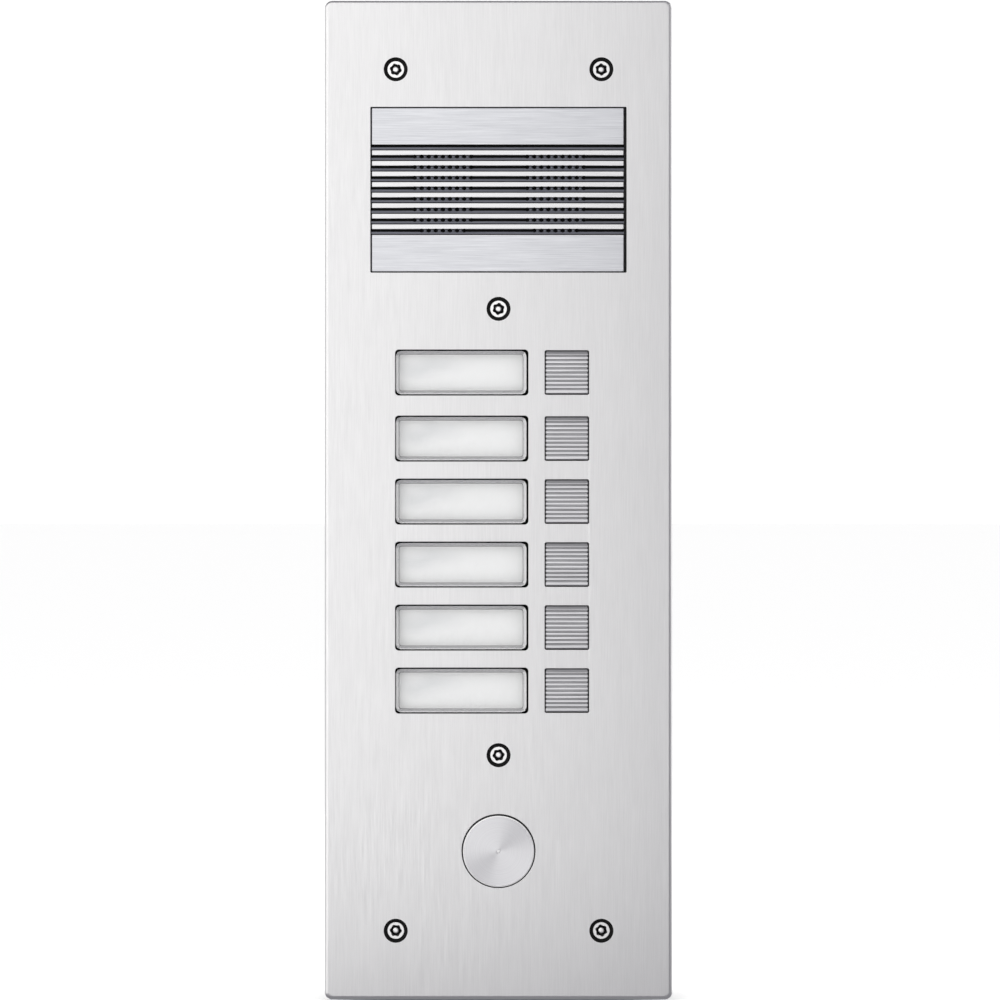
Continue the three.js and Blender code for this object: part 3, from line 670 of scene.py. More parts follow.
def grille_profile(front):
    """The section of the extrusion from the bottom flange up, with its face at front.

    Its points are (y, z, finish), each with the finish of the surface that starts there: 0 for the plain
    bands, 1 for the grooves, painted darker as shade, 2 for the slots and edges, painted near-black as
    shade, and 3 for the lands between the grooves.
    """
    bottom, top = GRILLE_LOW.z + GRILLE_FLANGE, GRILLE_HIGH.z - GRILLE_FLANGE
    ease = 0.22 * MM
    slot, lip, foot, deep = FRONT + 1.6 * MM, FRONT + 0.75 * MM, FRONT + 1.0 * MM, FRONT + GROOVE_DEPTH
    points = [(GRILLE_HIGH.y, GRILLE_LOW.z, 2), (SHELF, GRILLE_LOW.z, 2), (SHELF, bottom, 2)]
    points += [(front + ease, bottom, 0), (front, bottom + ease, 0)]
    places = groove_places()
    for low in places:
        high = low + GROOVE
        points += [(front, low - ease, 3), (front + 0.3 * ease, low - 0.3 * ease, 3), (front + ease, low, 2)]
        points += [(slot, low, 2), (slot, low + GROOVE_LINE, 1)]
        points += [(lip, low + GROOVE_LINE, 1), (foot, high - GROOVE_SLOT, 2)]
        points += [(deep, high - GROOVE_SLOT, 2), (deep, high, 2)]
        face = 0 if low == places[-1] else 3
        points += [(front + ease, high, 3), (front + 0.3 * ease, high + 0.3 * ease, 3)]
        points.append((front, high + ease, face))
    points += [(front, top - ease, 0), (front + ease, top, 2), (SHELF, top, 2)]
    return points + [(SHELF, GRILLE_HIGH.z, 2), (GRILLE_HIGH.y, GRILLE_HIGH.z, 2)]


def groove_places():
    """The height of each groove's lower edge, from the bottom up."""
    bottom, top = GRILLE_LOW.z + GRILLE_FLANGE, GRILLE_HIGH.z - GRILLE_FLANGE
    band = (top - bottom - GROOVES * GROOVE - (GROOVES - 1) * LAND) / 2
    return [bottom + band + i * (GROOVE + LAND) for i in range(GROOVES)]


def sound_holes():
    """(x, z) of each drilled hole: two round patches, in every groove but the topmost."""
    places = []
    for low in groove_places()[:-1]:
        chord = SOUND_PATCH**2 - (low + GROOVE / 2 - SOUND_Z) ** 2
        half = min(SOUND_HALF_WIDTH, math.sqrt(chord)) - SOUND_HOLE if chord > 0 else 0
        steps = int(half / SOUND_PITCH)
        for patch in SOUND_X:
            row = [patch + i * SOUND_PITCH for i in range(-steps, steps + 1)]
            places += [(x, low + GROOVE - SOUND_DROP) for x in row]
    return places


def sound_webs():
    """(x, lowest z) of each web of metal between two neighbouring holes, in the deep slot."""
    holes = sound_holes()
    for first, second in zip(holes, holes[1:]):
        if first[1] == second[1] and abs(second[0] - first[0] - SOUND_PITCH) < 0.1 * MM:
            yield (first[0] + second[0]) / 2, first[1] + SOUND_DROP - GROOVE_SLOT


def speaker_grille():
    left, right = GRILLE_LOW.x, GRILLE_HIGH.x - GRILLE_SHADOW
    ease = 0.3 * MM
    body = Skin()
    stations = ((left, FRONT + ease), (left + ease, FRONT), (right - ease, FRONT), (right, FRONT + ease))
    rings = [[body.mesh.verts.new((x, y, z)) for y, z, _ in grille_profile(front)] for x, front in stations]
    finish = [index for _, _, index in grille_profile(FRONT)]
    for i, face in enumerate(body.wall(*rings)):
        face.material_index = finish[i % len(finish)]
    paint([body.mesh.faces.new(end) for end in (rings[0], rings[-1])], 2)

    drills = Skin()
    for place in sound_holes():
        near, far = (drills.ring(circle(place, SOUND_HOLE, 20), y) for y in (FRONT - MM, 2 * MM))
        drills.wall(near, far)
        drills.mesh.faces.new(near)
        drills.mesh.faces.new(far)
    paint(drills.mesh.faces, 2)
    louvres = carve(outward(body.mesh), outward(drills.mesh))
    near, far = FRONT + 1.25 * MM, FRONT + 1.9 * MM
    for x, z in sound_webs():
        web = block((x - SOUND_WEB / 2, near, z), (x + SOUND_WEB / 2, far, z + GROOVE_SLOT), 0.1 * MM)
        join(louvres, web, 1)
    # painted shade: the grooves and webs (finish 1), and the slots, sound holes, ends and flanges (finish 2)
    finishes = [GRILLE_METAL, GROOVE_PAINTED_SHADE, PAINTED_SHADE_BLACK, LAND_METAL]
    stand_in("speaker_grille", "louvres", louvres, finishes)


# ---- name windows and cards ----


def name_window(row):
    """A lens with a bevelled edge, a painted shade line round its face at the bevel's root, and a flange
    behind the plate.
    """
    centre = middle(f"name_window_{row}")
    low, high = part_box(f"name_window_{row}")
    width, height = (size - 2 * WINDOW_GAP for size in window_size())
    corner = WINDOW_CORNER + 0.5 * MM
    break_size = 0.1 * MM
    skin = Skin()

    def lens(inset):
        shifted = (centre[0] - WINDOW_SHIFT, centre[1])
        return rounded(shifted, width - 2 * inset, height - 2 * inset, corner - 0.8 * inset, 2)

    def flange(inset):
        return rounded(centre, high.x - low.x - 2 * inset, high.z - low.z - 2 * inset, MM, 2)

    root, bevel, edge = 0.75 * MM, 0.85 * MM, 0.1 * MM
    rings = [
        skin.ring(lens(WINDOW_BEVEL + 0.2 * MM), low.y + root),
        skin.ring(lens(WINDOW_BEVEL), low.y + bevel),
        skin.ring(lens(0.3 * MM), low.y + edge),
        skin.ring(lens(0.05 * MM), low.y),
        skin.ring(lens(0), low.y + 0.08 * MM),
        skin.ring(lens(0), SHELF),
        skin.ring(flange(break_size), SHELF),
        skin.ring(flange(0), SHELF + break_size),
        skin.ring(flange(0), high.y - break_size),
        skin.ring(flange(break_size), high.y),
    ]
    # the bevel's root gets a painted shade line, and the lens sides and flange are painted near-black as
    # shade in the gap
    paint(skin.wall(*rings[:2]), 3)
    paint(skin.wall(*rings[1:5]), 2)
    paint(skin.wall(*rings[4:]), 1)
    skin.face(rings[0])
    skin.face(rings[-1])
    finishes = [ACRYLIC, PAINTED_SHADE_BLACK, ACRYLIC_EDGE, ACRYLIC_PAINTED_SHADE_LINE]
    skin.piece(f"name_window_lens_{row}", finishes, f"name_window_{row}", "clear_acrylic", 20)


def name_card(row):
    """A card about its own middle, which is where its painted reflection is measured from."""
    low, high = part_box(f"name_card_{row}")
    skin = Skin()
    outline = rounded((0, 0), high.x - low.x, high.z - low.z, 0.5 * MM, 4)
    thickness = high.y - low.y
    near, far = skin.ring(outline, -thickness / 2), skin.ring(outline, thickness / 2)
    skin.wall(near, far)
    skin.face(near)
    skin.face(far)
    skin.piece(f"name_card_sheet_{row}", CARD, f"name_card_{row}", "card", place=(low + high) / 2)


# ---- call buttons ----


def button_profile(bottom, top, face, rear):
    """The ribbed section of a call button's cap, from the bottom rear up over its face.

    Its points are (y, z, finish), each with the finish of the surface that starts there: 0 for the ribs and
    1 for the grooves and the top slope, which are painted darker as shade.
    """
    groove, depth, brim = 0.37 * MM, 0.55 * MM, 0.08 * MM
    slope = 1.15 * MM
    points = [(rear, bottom, 0), (face + 0.35 * MM, bottom, 0), (face + 0.1 * MM, bottom + 0.15 * MM, 0)]
    points.append((face, bottom + 0.4 * MM, 0))
    for i in range(BUTTON_RIBS):
        at = bottom + BUTTON_SIZE / 2 + (i - (BUTTON_RIBS - 1) / 2) * BUTTON_PITCH
        points += [(face, at - groove, 0), (face + brim, at - groove * 0.8, 1)]
        points += [(face + depth, at - groove * 0.5, 1), (face + depth, at + groove * 0.5, 1)]
        points += [(face + brim, at + groove * 0.8, 0), (face, at + groove, 0)]
    points += [(face, top - slope, 1), (face + 0.6 * MM, top - 0.15 * MM, 1)]
    return points + [(face + 0.75 * MM, top, 0), (rear, top, 0)]


def call_button(row):
    name = f"call_button_{row}"
    low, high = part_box(name)
    centre = middle(name)
    half = BUTTON_SIZE / 2
    rear = INNER + 0.3 * MM
    ease = 0.3 * MM
    body = Skin()
    profile = button_profile(centre[1] - half, centre[1] + half + BUTTON_RAISE, low.y, rear)
    rings = []
    for side, back in ((-half, ease), (-half + ease, 0), (half - ease, 0), (half, ease)):
        ring = [body.mesh.verts.new((centre[0] + side, min(y + back, rear), z)) for y, z, _ in profile]
        rings.append(ring)
    for i, face in enumerate(body.wall(*rings)):
        face.material_index = profile[i % len(profile)][2]
    for end in (rings[0], rings[-1]):
        body.mesh.faces.new(end)
    cap = outward(body.mesh)
    join(cap, block((low.x, SHELF, low.z), (high.x, SHELF + 1.2 * MM, high.z), 0.2 * MM), 2)
    stem, tip = 2.4 * MM, high.y - 0.3 * MM
    stem_outline = [(0, 0), (stem, 0), (stem, tip), (stem * 0.9, high.y), (0, high.y)]
    join(cap, turned(centre, stem_outline, 32).mesh, 2)
    finishes = [BUTTON_METAL, BUTTON_GROOVE_PAINTED_SHADE, BLACK]
    add_piece(f"call_button_cap_{row}", cap, finishes, name, body=name)


# ---- light button ----


def light_button():
    """A spun cap with a polished rim and a turned pip in its middle; its side, skirt and stem are painted
    black as shade in the gap round it.
    """
    low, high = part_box("light_button_cap")
    flange, bore, stem = 13.7 * MM, 11.7 * MM, 3 * MM
    skirt_end, web = 5 * MM, -0.4 * MM
    face, cap = low.y, LIGHT_CAP
    dish = face + 0.04 * MM
    outline = [(0, face), (0.55 * MM, face + 0.02 * MM), (0.65 * MM, face + 0.1 * MM), (0.8 * MM, dish)]
    outline += [(cap - 0.75 * MM, dish), (cap - 0.65 * MM, face)]
    outline += [(cap - 0.2 * MM, face + 0.03 * MM), (cap, face + 0.3 * MM), (cap, SHELF)]
    outline += [(flange, SHELF), (flange, skirt_end), (bore, skirt_end), (bore, web)]
    outline += [(stem, web), (stem, high.y - 0.4 * MM), (2.6 * MM, high.y), (0, high.y)]
    centre = (LIGHT_CENTRE[0], LIGHT_CENTRE[1] - CAP_DROP)
    skin = turned(centre, outline, 160)
    for shape in skin.mesh.faces:
        place = shape.calc_center_median()
        radius = math.hypot(place.x - centre[0], place.z - centre[1])
        polished = radius > cap - 0.7 * MM or radius < 0.6 * MM
        # painted shade: everything deeper than the edge of the cap's face is black, for the shade in the gap
        # round the cap
        shape.material_index = 2 if place.y > face + 0.5 * MM else int(polished)
    finishes = [CAP_METAL, RIM_METAL, BLACK]
    skin.piece("light_button_spun_cap", finishes, "light_button_cap", "aluminium", 25, "light_button")


# ---- screws ----


def star(centre, turn, count=72):
    """The six-lobed outline of a pin-in security recess."""
    x, z = centre
    points = []
    for angle in turns(count):
        radius = STAR_MEAN + STAR_LOBE * math.cos(6 * angle)
        points.append((x + radius * math.cos(angle + turn), z + radius * math.sin(angle + turn)))
    return points


def security_screw(number):
    """A countersunk screw with a threaded shank, and a star recess with a pin in its middle."""
    low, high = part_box(f"security_screw_{number}")
    centre = middle(f"security_screw_{number}")
    top, ease = low.y, 0.12 * MM
    floor_y = top + 1.5 * MM
    turn = math.radians(47 * number)
    skin = Skin()

    def ring(radius, y):
        return skin.ring(circle(centre, radius, 72), y)

    at = top + ease + SCREW_HEAD - SCREW_THREAD
    shank = [ring(SCREW_HEAD - ease, top), ring(SCREW_HEAD, top + ease), ring(SCREW_THREAD, at)]
    tooth = ((SCREW_THREAD, 0.05), (SCREW_ROOT, 0.45), (SCREW_ROOT, 0.55), (SCREW_THREAD, 0.95))
    while at + SCREW_PITCH < high.y - 0.5 * MM:
        shank += [ring(radius, at + step * SCREW_PITCH) for radius, step in tooth]
        at += SCREW_PITCH
    shank.append(ring(1.5 * MM, high.y))
    skin.wall(*shank)
    skin.face(shank[-1])
    lobes = [skin.ring(star(centre, turn), y) for y in (top, floor_y)]
    dark = skin.wall(*lobes)
    pin = [ring(SCREW_PIN, floor_y), ring(SCREW_PIN, top + 0.3 * MM)]
    dark += skin.wall(*pin)
    crown = ring(SCREW_PIN * 0.7, top + 0.12 * MM)
    skin.wall(pin[-1], crown)
    skin.point(crown, centre[0], top + 0.08 * MM, centre[1])
    skin.face(shank[0], lobes[0])
    dark += skin.face(lobes[1], pin[0])
    # painted shade: the star recess, its floor and the pin's side are near-black, for the shade in the
    # recess
    paint(dark, 1)
    finishes = [SCREW_STEEL, SCREW_PAINTED_SHADE]
    skin.piece(f"pin_star_screw_{number}", finishes, f"security_screw_{number}", "screw_steel", 25)


# ---- wall box, bridges, gasket and grommet ----


def mm(*values):
    return tuple(value * MM for value in values)


def around(centre, outline, count=96):
    """A body of revolution from (radius, y) points in millimetres."""
    return turned(centre, [mm(*point) for point in outline], count).mesh


def bent(radius, start, steps=5):
    """Insets and depths along a quarter bend, from the side to the flat."""
    for i in range(steps + 1):
        angle = math.pi / 2 * i / steps
        yield radius * (1 - math.cos(angle)), start + radius * math.sin(angle)


def box_places():
    """Centres of the wall box's fixing holes and of its knock-outs."""
    fixings = [mm(40 * side, 130 * up) for side, up in CORNERS]
    knockouts = [mm(30, -145), mm(-30, 145), mm(30, 145)]
    return fixings, knockouts


def box_back(skin, outer, inner):
    """The back of the wall box with its holes, and its knock-outs, each a disc inside a pressed ring."""
    depth, inside = BOX_HIGH.y, BOX_HIGH.y - BOX_SHEET
    break_size = 0.2 * MM
    fixings, knockouts = box_places()
    outside, within = [], []
    for place, radius in [(centre, 2.5 * MM) for centre in fixings] + [(GROMMET_CENTRE, 10 * MM)]:
        steps = ((radius + break_size, depth), (radius, depth - break_size), (radius, inside))
        rings = [skin.ring(circle(place, reach), y) for reach, y in steps]
        skin.wall(*rings)
        outside.append(rings[0])
        within.append(rings[-1])
    for place in knockouts:
        steps = ((10, 0), (9.75, 0.35), (9.35, 0.35), (9.1, 0))
        rings = [skin.ring(circle(place, radius * MM), depth - sunk * MM) for radius, sunk in steps]
        skin.wall(*rings)
        skin.face(rings[-1])
        outside.append(rings[0])
    skin.face(outer, *outside)
    skin.face(inner, *within)


def back_box():
    """A sheet box with bent edges and a lip round its mouth, and four tabs with threaded bosses."""
    width, height = BOX_HIGH.x - BOX_LOW.x, BOX_HIGH.z - BOX_LOW.z
    depth = BOX_HIGH.y
    skin = Skin()

    def outline(inset):
        return rounded((0, 0), width - 2 * inset, height - 2 * inset, max(3 * MM - inset, 0.5 * MM), 6)

    lip, bend, sheet = 4 * MM, 2.2 * MM, BOX_SHEET
    mouth = 0.1 * MM
    front = [(lip, mouth)] + [(inset, mouth + bend - y) for inset, y in reversed(list(bent(bend, 0)))]
    side = [*front, *bent(bend, depth - bend)]
    inside = [(sheet + inset, y - sheet) for inset, y in bent(bend - sheet, depth - bend + sheet)]
    inner = [*reversed(inside), (sheet, mouth + sheet), (lip, mouth + sheet)]
    outer_rings = [skin.ring(outline(inset), y) for inset, y in side]
    inner_rings = [skin.ring(outline(inset), y) for inset, y in inner]
    skin.wall(*outer_rings)
    skin.wall(*inner_rings, outer_rings[0])
    box_back(skin, outer_rings[-1], inner_rings[0])
    shell = carve(outward(skin.mesh), weld_marks(width, height))
    half_tab = 7 * MM
    for x, z in [mm(35.5 * side, 148.7 * up) for side, up in CORNERS]:
        near, far = sorted((z - math.copysign(half_tab, z), math.copysign(height / 2 - MM, z)))
        join(shell, block((x - half_tab, mouth, near), (x + half_tab, 1.3 * MM, far), 0.2 * MM))
        join(shell, around((x, z), BOSS_OUTLINE, 32))
    stand_in("back_box", "pressing", shell, ZINC, 25)


def weld_marks(width, height):
    """Shallow round marks of the spot welds that close the box's corners, as a cutter."""
    marks = bmesh.new()
    sphere, sunk, edge = 5 * MM, 0.3 * MM, 7 * MM
    for x in (-width / 2 + edge, width / 2 - edge):
        for y in mm(9, 23, 37):
            for z in (-height / 2 - sphere + sunk, height / 2 + sphere - sunk):
                place = Matrix.Translation((x, y, z))
                bmesh.ops.create_uvsphere(marks, u_segments=48, v_segments=32, radius=sphere, matrix=place)
    return marks


def bridge(name):
    """A cross-bar with its ends turned back, and a threaded boss for one screw."""
    low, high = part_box(name)
    sheet, bend = 1.5 * MM, 2.5 * MM
    near, far = 1.4 * MM, 13 * MM
    half = high.x
    right = [(half, far)] + [(half - inset, near + bend - y) for inset, y in bent(bend, 0)]
    right_inner = [(half - sheet, far)]
    right_inner += [(half - sheet - inset, near + bend - y) for inset, y in bent(bend - sheet, 0)]
    section = right + [(-x, y) for x, y in reversed(right)] + [(-x, y) for x, y in right_inner]
    section += list(reversed(right_inner))
    skin = Skin()
    ends = [[skin.mesh.verts.new((x, y, z)) for x, y in section] for z in (low.z, high.z)]
    skin.wall(*ends)
    for end in ends:
        bmesh.ops.triangulate(skin.mesh, faces=[skin.mesh.faces.new(end)])
    join(outward(skin.mesh), around(middle(name), BOSS_OUTLINE, 32))
    stand_in(name, "strap", skin.mesh, ZINC)


def cable_grommet():
    """A rubber ring whose groove holds the sheet, with a soft funnel down to the passage."""
    outline = [(4.5, 43.6), (4.9, 43.25), (10.9, 43.2), (11.4, 43.5), (11.5, 44.2), (11.2, 44.7)]
    outline += [(9.9, 44.7), (9.9, 46.1), (11.2, 46.1), (11.5, 46.5), (11.2, 47.1), (10.6, 47.3)]
    outline += [(8.6, 47.2), (6.4, 46.6), (4.9, 46.2), (4.5, 45.8)]
    stand_in("cable_grommet", "ring", around(GROMMET_CENTRE, outline), RUBBER, 60)


# ---- studs and nuts on the plate's back ----


def thread_outline(radius, start, end, pitch=0.5):
    """(radius, y) points of a threaded stud in millimetres, with a broken tip."""
    points = [(0, start), (radius, start)]
    at = start + 0.6
    while at + pitch < end - 0.4:
        points += [(radius, at), (radius - 0.27, at + pitch * 0.45), (radius - 0.27, at + pitch * 0.55)]
        at += pitch
    return points + [(radius, at), (radius - 0.3, end), (0, end)]


def nut(place, start, thickness=2.4, across=5.5):
    """A hexagon nut with turned faces and a bore, in millimetres."""
    x, z = place
    skin = Skin()
    hexagon = circle(place, across / math.sqrt(3) * MM, 6)
    inset = [(x + (px - x) * 0.9, z + (pz - z) * 0.9) for px, pz in hexagon]
    ys = (start, start + 0.3, start + thickness - 0.3, start + thickness)
    rings = [skin.ring(shape, y * MM) for shape, y in zip((inset, hexagon, hexagon, inset), ys)]
    bore = [skin.ring(circle((x, z), 1.45 * MM, 24), y * MM) for y in (ys[0], ys[-1])]
    skin.wall(*rings)
    skin.wall(*bore)
    skin.face(rings[0], bore[0])
    skin.face(rings[-1], bore[1])
    return outward(skin.mesh)


def plate_studs():
    """The threaded end of each stud with its nut. Each row is a place, the stud's end and the nut's seat."""
    speech = [(mm(side * 47.3, 107.1 + up * 22), 7.5, 2.5) for side, up in CORNERS]
    call = [(mm(*place), 27, 23.7) for place in BOARD_POSTS]
    light = [(mm(side * 21, -121.2), 5, 0.2) for side in (-1, 1)]
    studs = bmesh.new()
    for place, end, seat in speech + call + light:
        join(studs, around(place, thread_outline(1.5, -2.0, end), 24))
        join(studs, nut(place, seat))
    add_piece("plate_studs_and_nuts", studs, STUD_STEEL, None)


# ---- speaker and microphone ----


def speaker():
    centre = middle("speaker_magnet")
    gasket = [(17.4, 2.6), (17.6, 2.5), (19.8, 2.5), (20, 2.6), (20, 3.4), (19.8, 3.5), (17.6, 3.5)]
    gasket += [(17.4, 3.4)]
    basket = [(17.4, 3.7), (17.5, 3.6), (19.8, 3.6), (20, 3.8), (20, 4.5), (19.9, 4.6), (19.1, 4.6)]
    basket += [(18.8, 4.8), (18.3, 6.5), (12.4, 12.8), (12.0, 13), (6.2, 13), (6.2, 12), (11.5, 12)]
    basket += [(17.2, 6.4), (17.4, 6.1)]
    magnet = [(0, 13.1), (4.3, 13.1), (4.3, 16.2), (5.8, 16.2), (5.8, 13.1), (10.7, 13.1), (11, 13.3)]
    magnet += [(11, 15.2), (10.9, 15.3), (11, 15.4), (11, 19.4), (10.4, 20), (0, 20)]
    stand_in("speaker_gasket", "ring", around(centre, gasket), RUBBER)
    stand_in("speaker_basket", "pressing", around(centre, basket), ZINC)
    stand_in("speaker_magnet", "turned", around(centre, magnet), ZINC)
    surround = [(16.9 - 0.35 * i, 4.62 + 0.2 * (i % 2) + 0.05 * i) for i in range(7)]
    cone = [(0, 8.4), (1.5, 8.48), (3, 8.75), (5.2, 10.2), (14.6, 5.3), *reversed(surround)]
    cone += [(16.9, 4.9), (14.6, 5.75), (5.3, 10.9), (5.3, 15), (4.8, 15), (4.8, 10.7), (0, 9)]
    stand_in("speaker_cone", "paper", around(centre, cone), CONE_PAPER, 50, "speaker_cone")


def microphone():
    centre = middle("microphone_capsule")
    boot = [(2.2, 2.5), (6.7, 2.5), (7, 2.8), (7, 9.2), (6.7, 9.5), (5.2, 9.5), (5, 9.3), (5, 4), (2, 4)]
    boot += [(2, 2.7)]
    capsule = [(0, 4.1), (2.2, 4.1), (2.3, 4.2), (4.6, 4.2), (4.85, 4.4), (4.85, 10.3), (4.6, 10.6)]
    capsule += [(4.1, 10.6), (4.1, 10.4), (0, 10.4)]
    stand_in("microphone_boot", "ring", around(centre, boot), RUBBER)
    stand_in("microphone_capsule", "can", around(centre, capsule), RIM_METAL)


# ---- springs and leads ----


def heading(path, i):
    """The direction of a path at one of its points."""
    return (path[min(i + 1, len(path) - 1)] - path[max(i - 1, 0)]).normalized()


def tube(mesh, path, radius, sides):
    """A tube along a list of points, with closed ends. Its section is carried along without twisting."""
    rings = []
    side = heading(path, 0).orthogonal()
    for i, point in enumerate(path):
        ahead = heading(path, i)
        side = (side - ahead * side.dot(ahead)).normalized() if i else side.normalized()
        across = ahead.cross(side)
        offsets = [side * math.cos(turn) + across * math.sin(turn) for turn in turns(sides)]
        rings.append([mesh.verts.new(point + radius * offset) for offset in offsets])
    faces = loft(mesh, *rings)
    return faces + [mesh.faces.new(rings[0]), mesh.faces.new(rings[-1])]


def spring(name, node, centre, coil):
    """A compression spring with a closed turn at each end."""
    radius, wire, reach, coils = coil
    start, end = reach[0] + wire, reach[1] - wire
    count = 28 * (coils + 2)
    path = []
    for i in range(count + 1):
        angle = 2 * math.pi * (coils + 2) * i / count
        turned_so_far = i / count * (coils + 2)
        open_share = min(max((turned_so_far - 1) / coils, 0), 1)
        closed = wire * 1.9 * (turned_so_far - open_share * coils) / 2
        y = start + (end - start - wire * 1.9) * open_share + closed
        path.append(Vector((centre[0] + radius * math.cos(angle), y, centre[1] + radius * math.sin(angle))))
    mesh = bmesh.new()
    tube(mesh, path, wire, 10)
    made = add_piece(name, outward(mesh), SPRING_STEEL, node)
    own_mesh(made)


def smooth_path(points, steps=12):
    """Points of a smooth curve through a few places in millimetres."""
    places = [Vector(mm(*point)) for point in points]
    places = [2 * places[0] - places[1], *places, 2 * places[-1] - places[-2]]
    path = []
    for a, b, c, d in zip(places, places[1:], places[2:], places[3:]):
        slope, curve, twist = c - a, 2 * a - 5 * b + 4 * c - d, 3 * b - a - 3 * c + d
        for i in range(steps):
            t = i / steps
            path.append(0.5 * (2 * b + slope * t + curve * t**2 + twist * t**3))
    return path + [places[-2]]


def lead(name, points):
    """Two insulated wires twisted round each other, through places in millimetres."""
    path = smooth_path(points)
    mesh = bmesh.new()
    for core in (0, 1):
        strand = []
        for i, point in enumerate(path):
            ahead = heading(path, i)
            side = ahead.cross(Vector((1, 0, 0))).normalized()
            angle = 2 * math.pi * i / 14 + math.pi * core
            strand.append(point + 0.5 * MM * (side * math.cos(angle) + ahead.cross(side) * math.sin(angle)))
        paint(tube(mesh, strand, 0.46 * MM, 10), core)
    stand_in(name, "twisted_pair", outward(mesh), [RED_WIRE, BLACK])


# ---- circuit boards ----


def board_sheet(low, high, holes, radius):
    """A laminate sheet with round holes, between two corners in millimetres."""
    skin = Skin()
    depths = (low[1], high[1])
    corners = [(high[0], high[2]), (low[0], high[2]), (low[0], low[2]), (high[0], low[2])]
    edges = [skin.ring([mm(*corner) for corner in corners], y * MM) for y in depths]
    skin.wall(*edges)
    bores = [[skin.ring(circle(mm(*hole), radius * MM, 24), y * MM) for y in depths] for hole in holes]
    for bore in bores:
        skin.wall(*bore)
    for i, edge in enumerate(edges):
        skin.face(edge, *(bore[i] for bore in bores))
    return outward(skin.mesh)


def chip(mesh, x, z, width, height, near, far, finish, ease=0.3):
    """A small part with eased edges, about (x, z) and between two depths, in millimetres."""
    low = mm(x - width / 2, near, z - height / 2)
    high = mm(x + width / 2, far, z + height / 2)
    join(mesh, block(low, high, ease * MM), finish)


def legs(mesh, x, z, width, height, y, count, finish):
    """Two rows of small legs, above and below a chip."""
    for i in range(count):
        at = x + (i - (count - 1) / 2) * width / count
        for side in (-1, 1):
            chip(mesh, at, z + side * (height / 2 + 0.6), 0.45, 1.4, y, y + 0.5, finish, 0.1)


def capacitor(mesh, x, z, radius, base, height, finish):
    """An electrolytic capacitor: a can with a crimp near its foot and a dished top."""
    top = base + height
    outline = [(0, base), (radius, base), (radius, base + 0.8), (radius - 0.25, base + 1.1)]
    outline += [(radius - 0.25, base + 1.4), (radius, base + 1.7), (radius, top - 0.5), (radius - 0.4, top)]
    outline += [(radius - 1.2, top), (radius - 1.3, top - 0.15), (0, top - 0.15)]
    join(mesh, around(mm(x, z), outline, 40), finish)


def main_board():
    black, can, socket, metal = range(1, 5)  # the laminate is 0
    face = 23.6
    mesh = board_sheet((-47, 22, -76), (44, face, 54), BOARD_POSTS, 1.7)
    for x, z, width, height, tall, pins in ((-8, 10, 14, 14, 1.6, 12), (20, 14, 10, 7.5, 1.8, 8)):
        chip(mesh, x, z, width, height, face, face + tall, black)
        legs(mesh, x, z, width, height, face, pins, metal)
    chip(mesh, -30, 22, 15.5, 19, face, face + 10, black, 0.6)
    for x, z in ((-22, 48), (24, 48), (16, -70)):
        chip(mesh, x, z, 7.5, 5.8, face, face + 3.5, socket)
        for side in (-1, 1):
            chip(mesh, x + side * 3.4, z, 0.7, 5.8, face + 3.2, face + 6, socket, 0.15)
    for x, z, radius, height in ((30, -8, 5, 12), (18, -8, 4, 9), (-32, -12, 4, 9)):
        capacitor(mesh, x, z, radius, face, height, can)
    for i in range(14):
        x, z = -36 + 5.6 * i, (-28, -34, -30)[i % 3]
        chip(mesh, x, z, 3.2 if i % 2 else 2.0, 1.6, face, face + 0.9, (black, socket)[i % 2], 0.1)
        for side in (-1, 1):
            chip(mesh, x + side * (1.5 if i % 2 else 0.9), z, 0.5, 1.7, face, face + 0.95, metal, 0.1)
    finishes = [LAMINATE, BLACK, CAN_METAL, WHITE_PLASTIC, RIM_METAL]
    stand_in("main_board", "assembly", mesh, finishes)


def call_board():
    black, diode, metal = range(1, 4)  # the laminate is 0
    low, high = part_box("call_board")
    mesh = board_sheet((low.x / MM, 12, low.z / MM), (high.x / MM, 13.6, high.z / MM), [], 1)
    for row in ROWS:
        x, z = (value / MM for value in middle(f"call_button_{row}"))
        switch = block(mm(x - 3.7, 8.6, z - 3.7), mm(x + 3.7, 12, z + 3.7), 0.3 * MM)
        well = around(mm(x, z), [(0, 8), (2.8, 8), (2.8, 11.4), (0, 11.4)], 32)
        join(mesh, carve(switch, well), black)
        for side, up in CORNERS:
            chip(mesh, x + side * 3.9, z + up * 2.3, 1.2, 0.8, 11.5, 12, metal, 0.1)
        x, z = (value / MM for value in middle(f"name_window_{row}"))
        chip(mesh, x, z, 3.5, 2.8, 10.6, 12, diode, 0.2)
    finishes = [LAMINATE, BLACK, WHITE_PLASTIC, RIM_METAL]
    stand_in("call_board", "assembly", mesh, finishes)


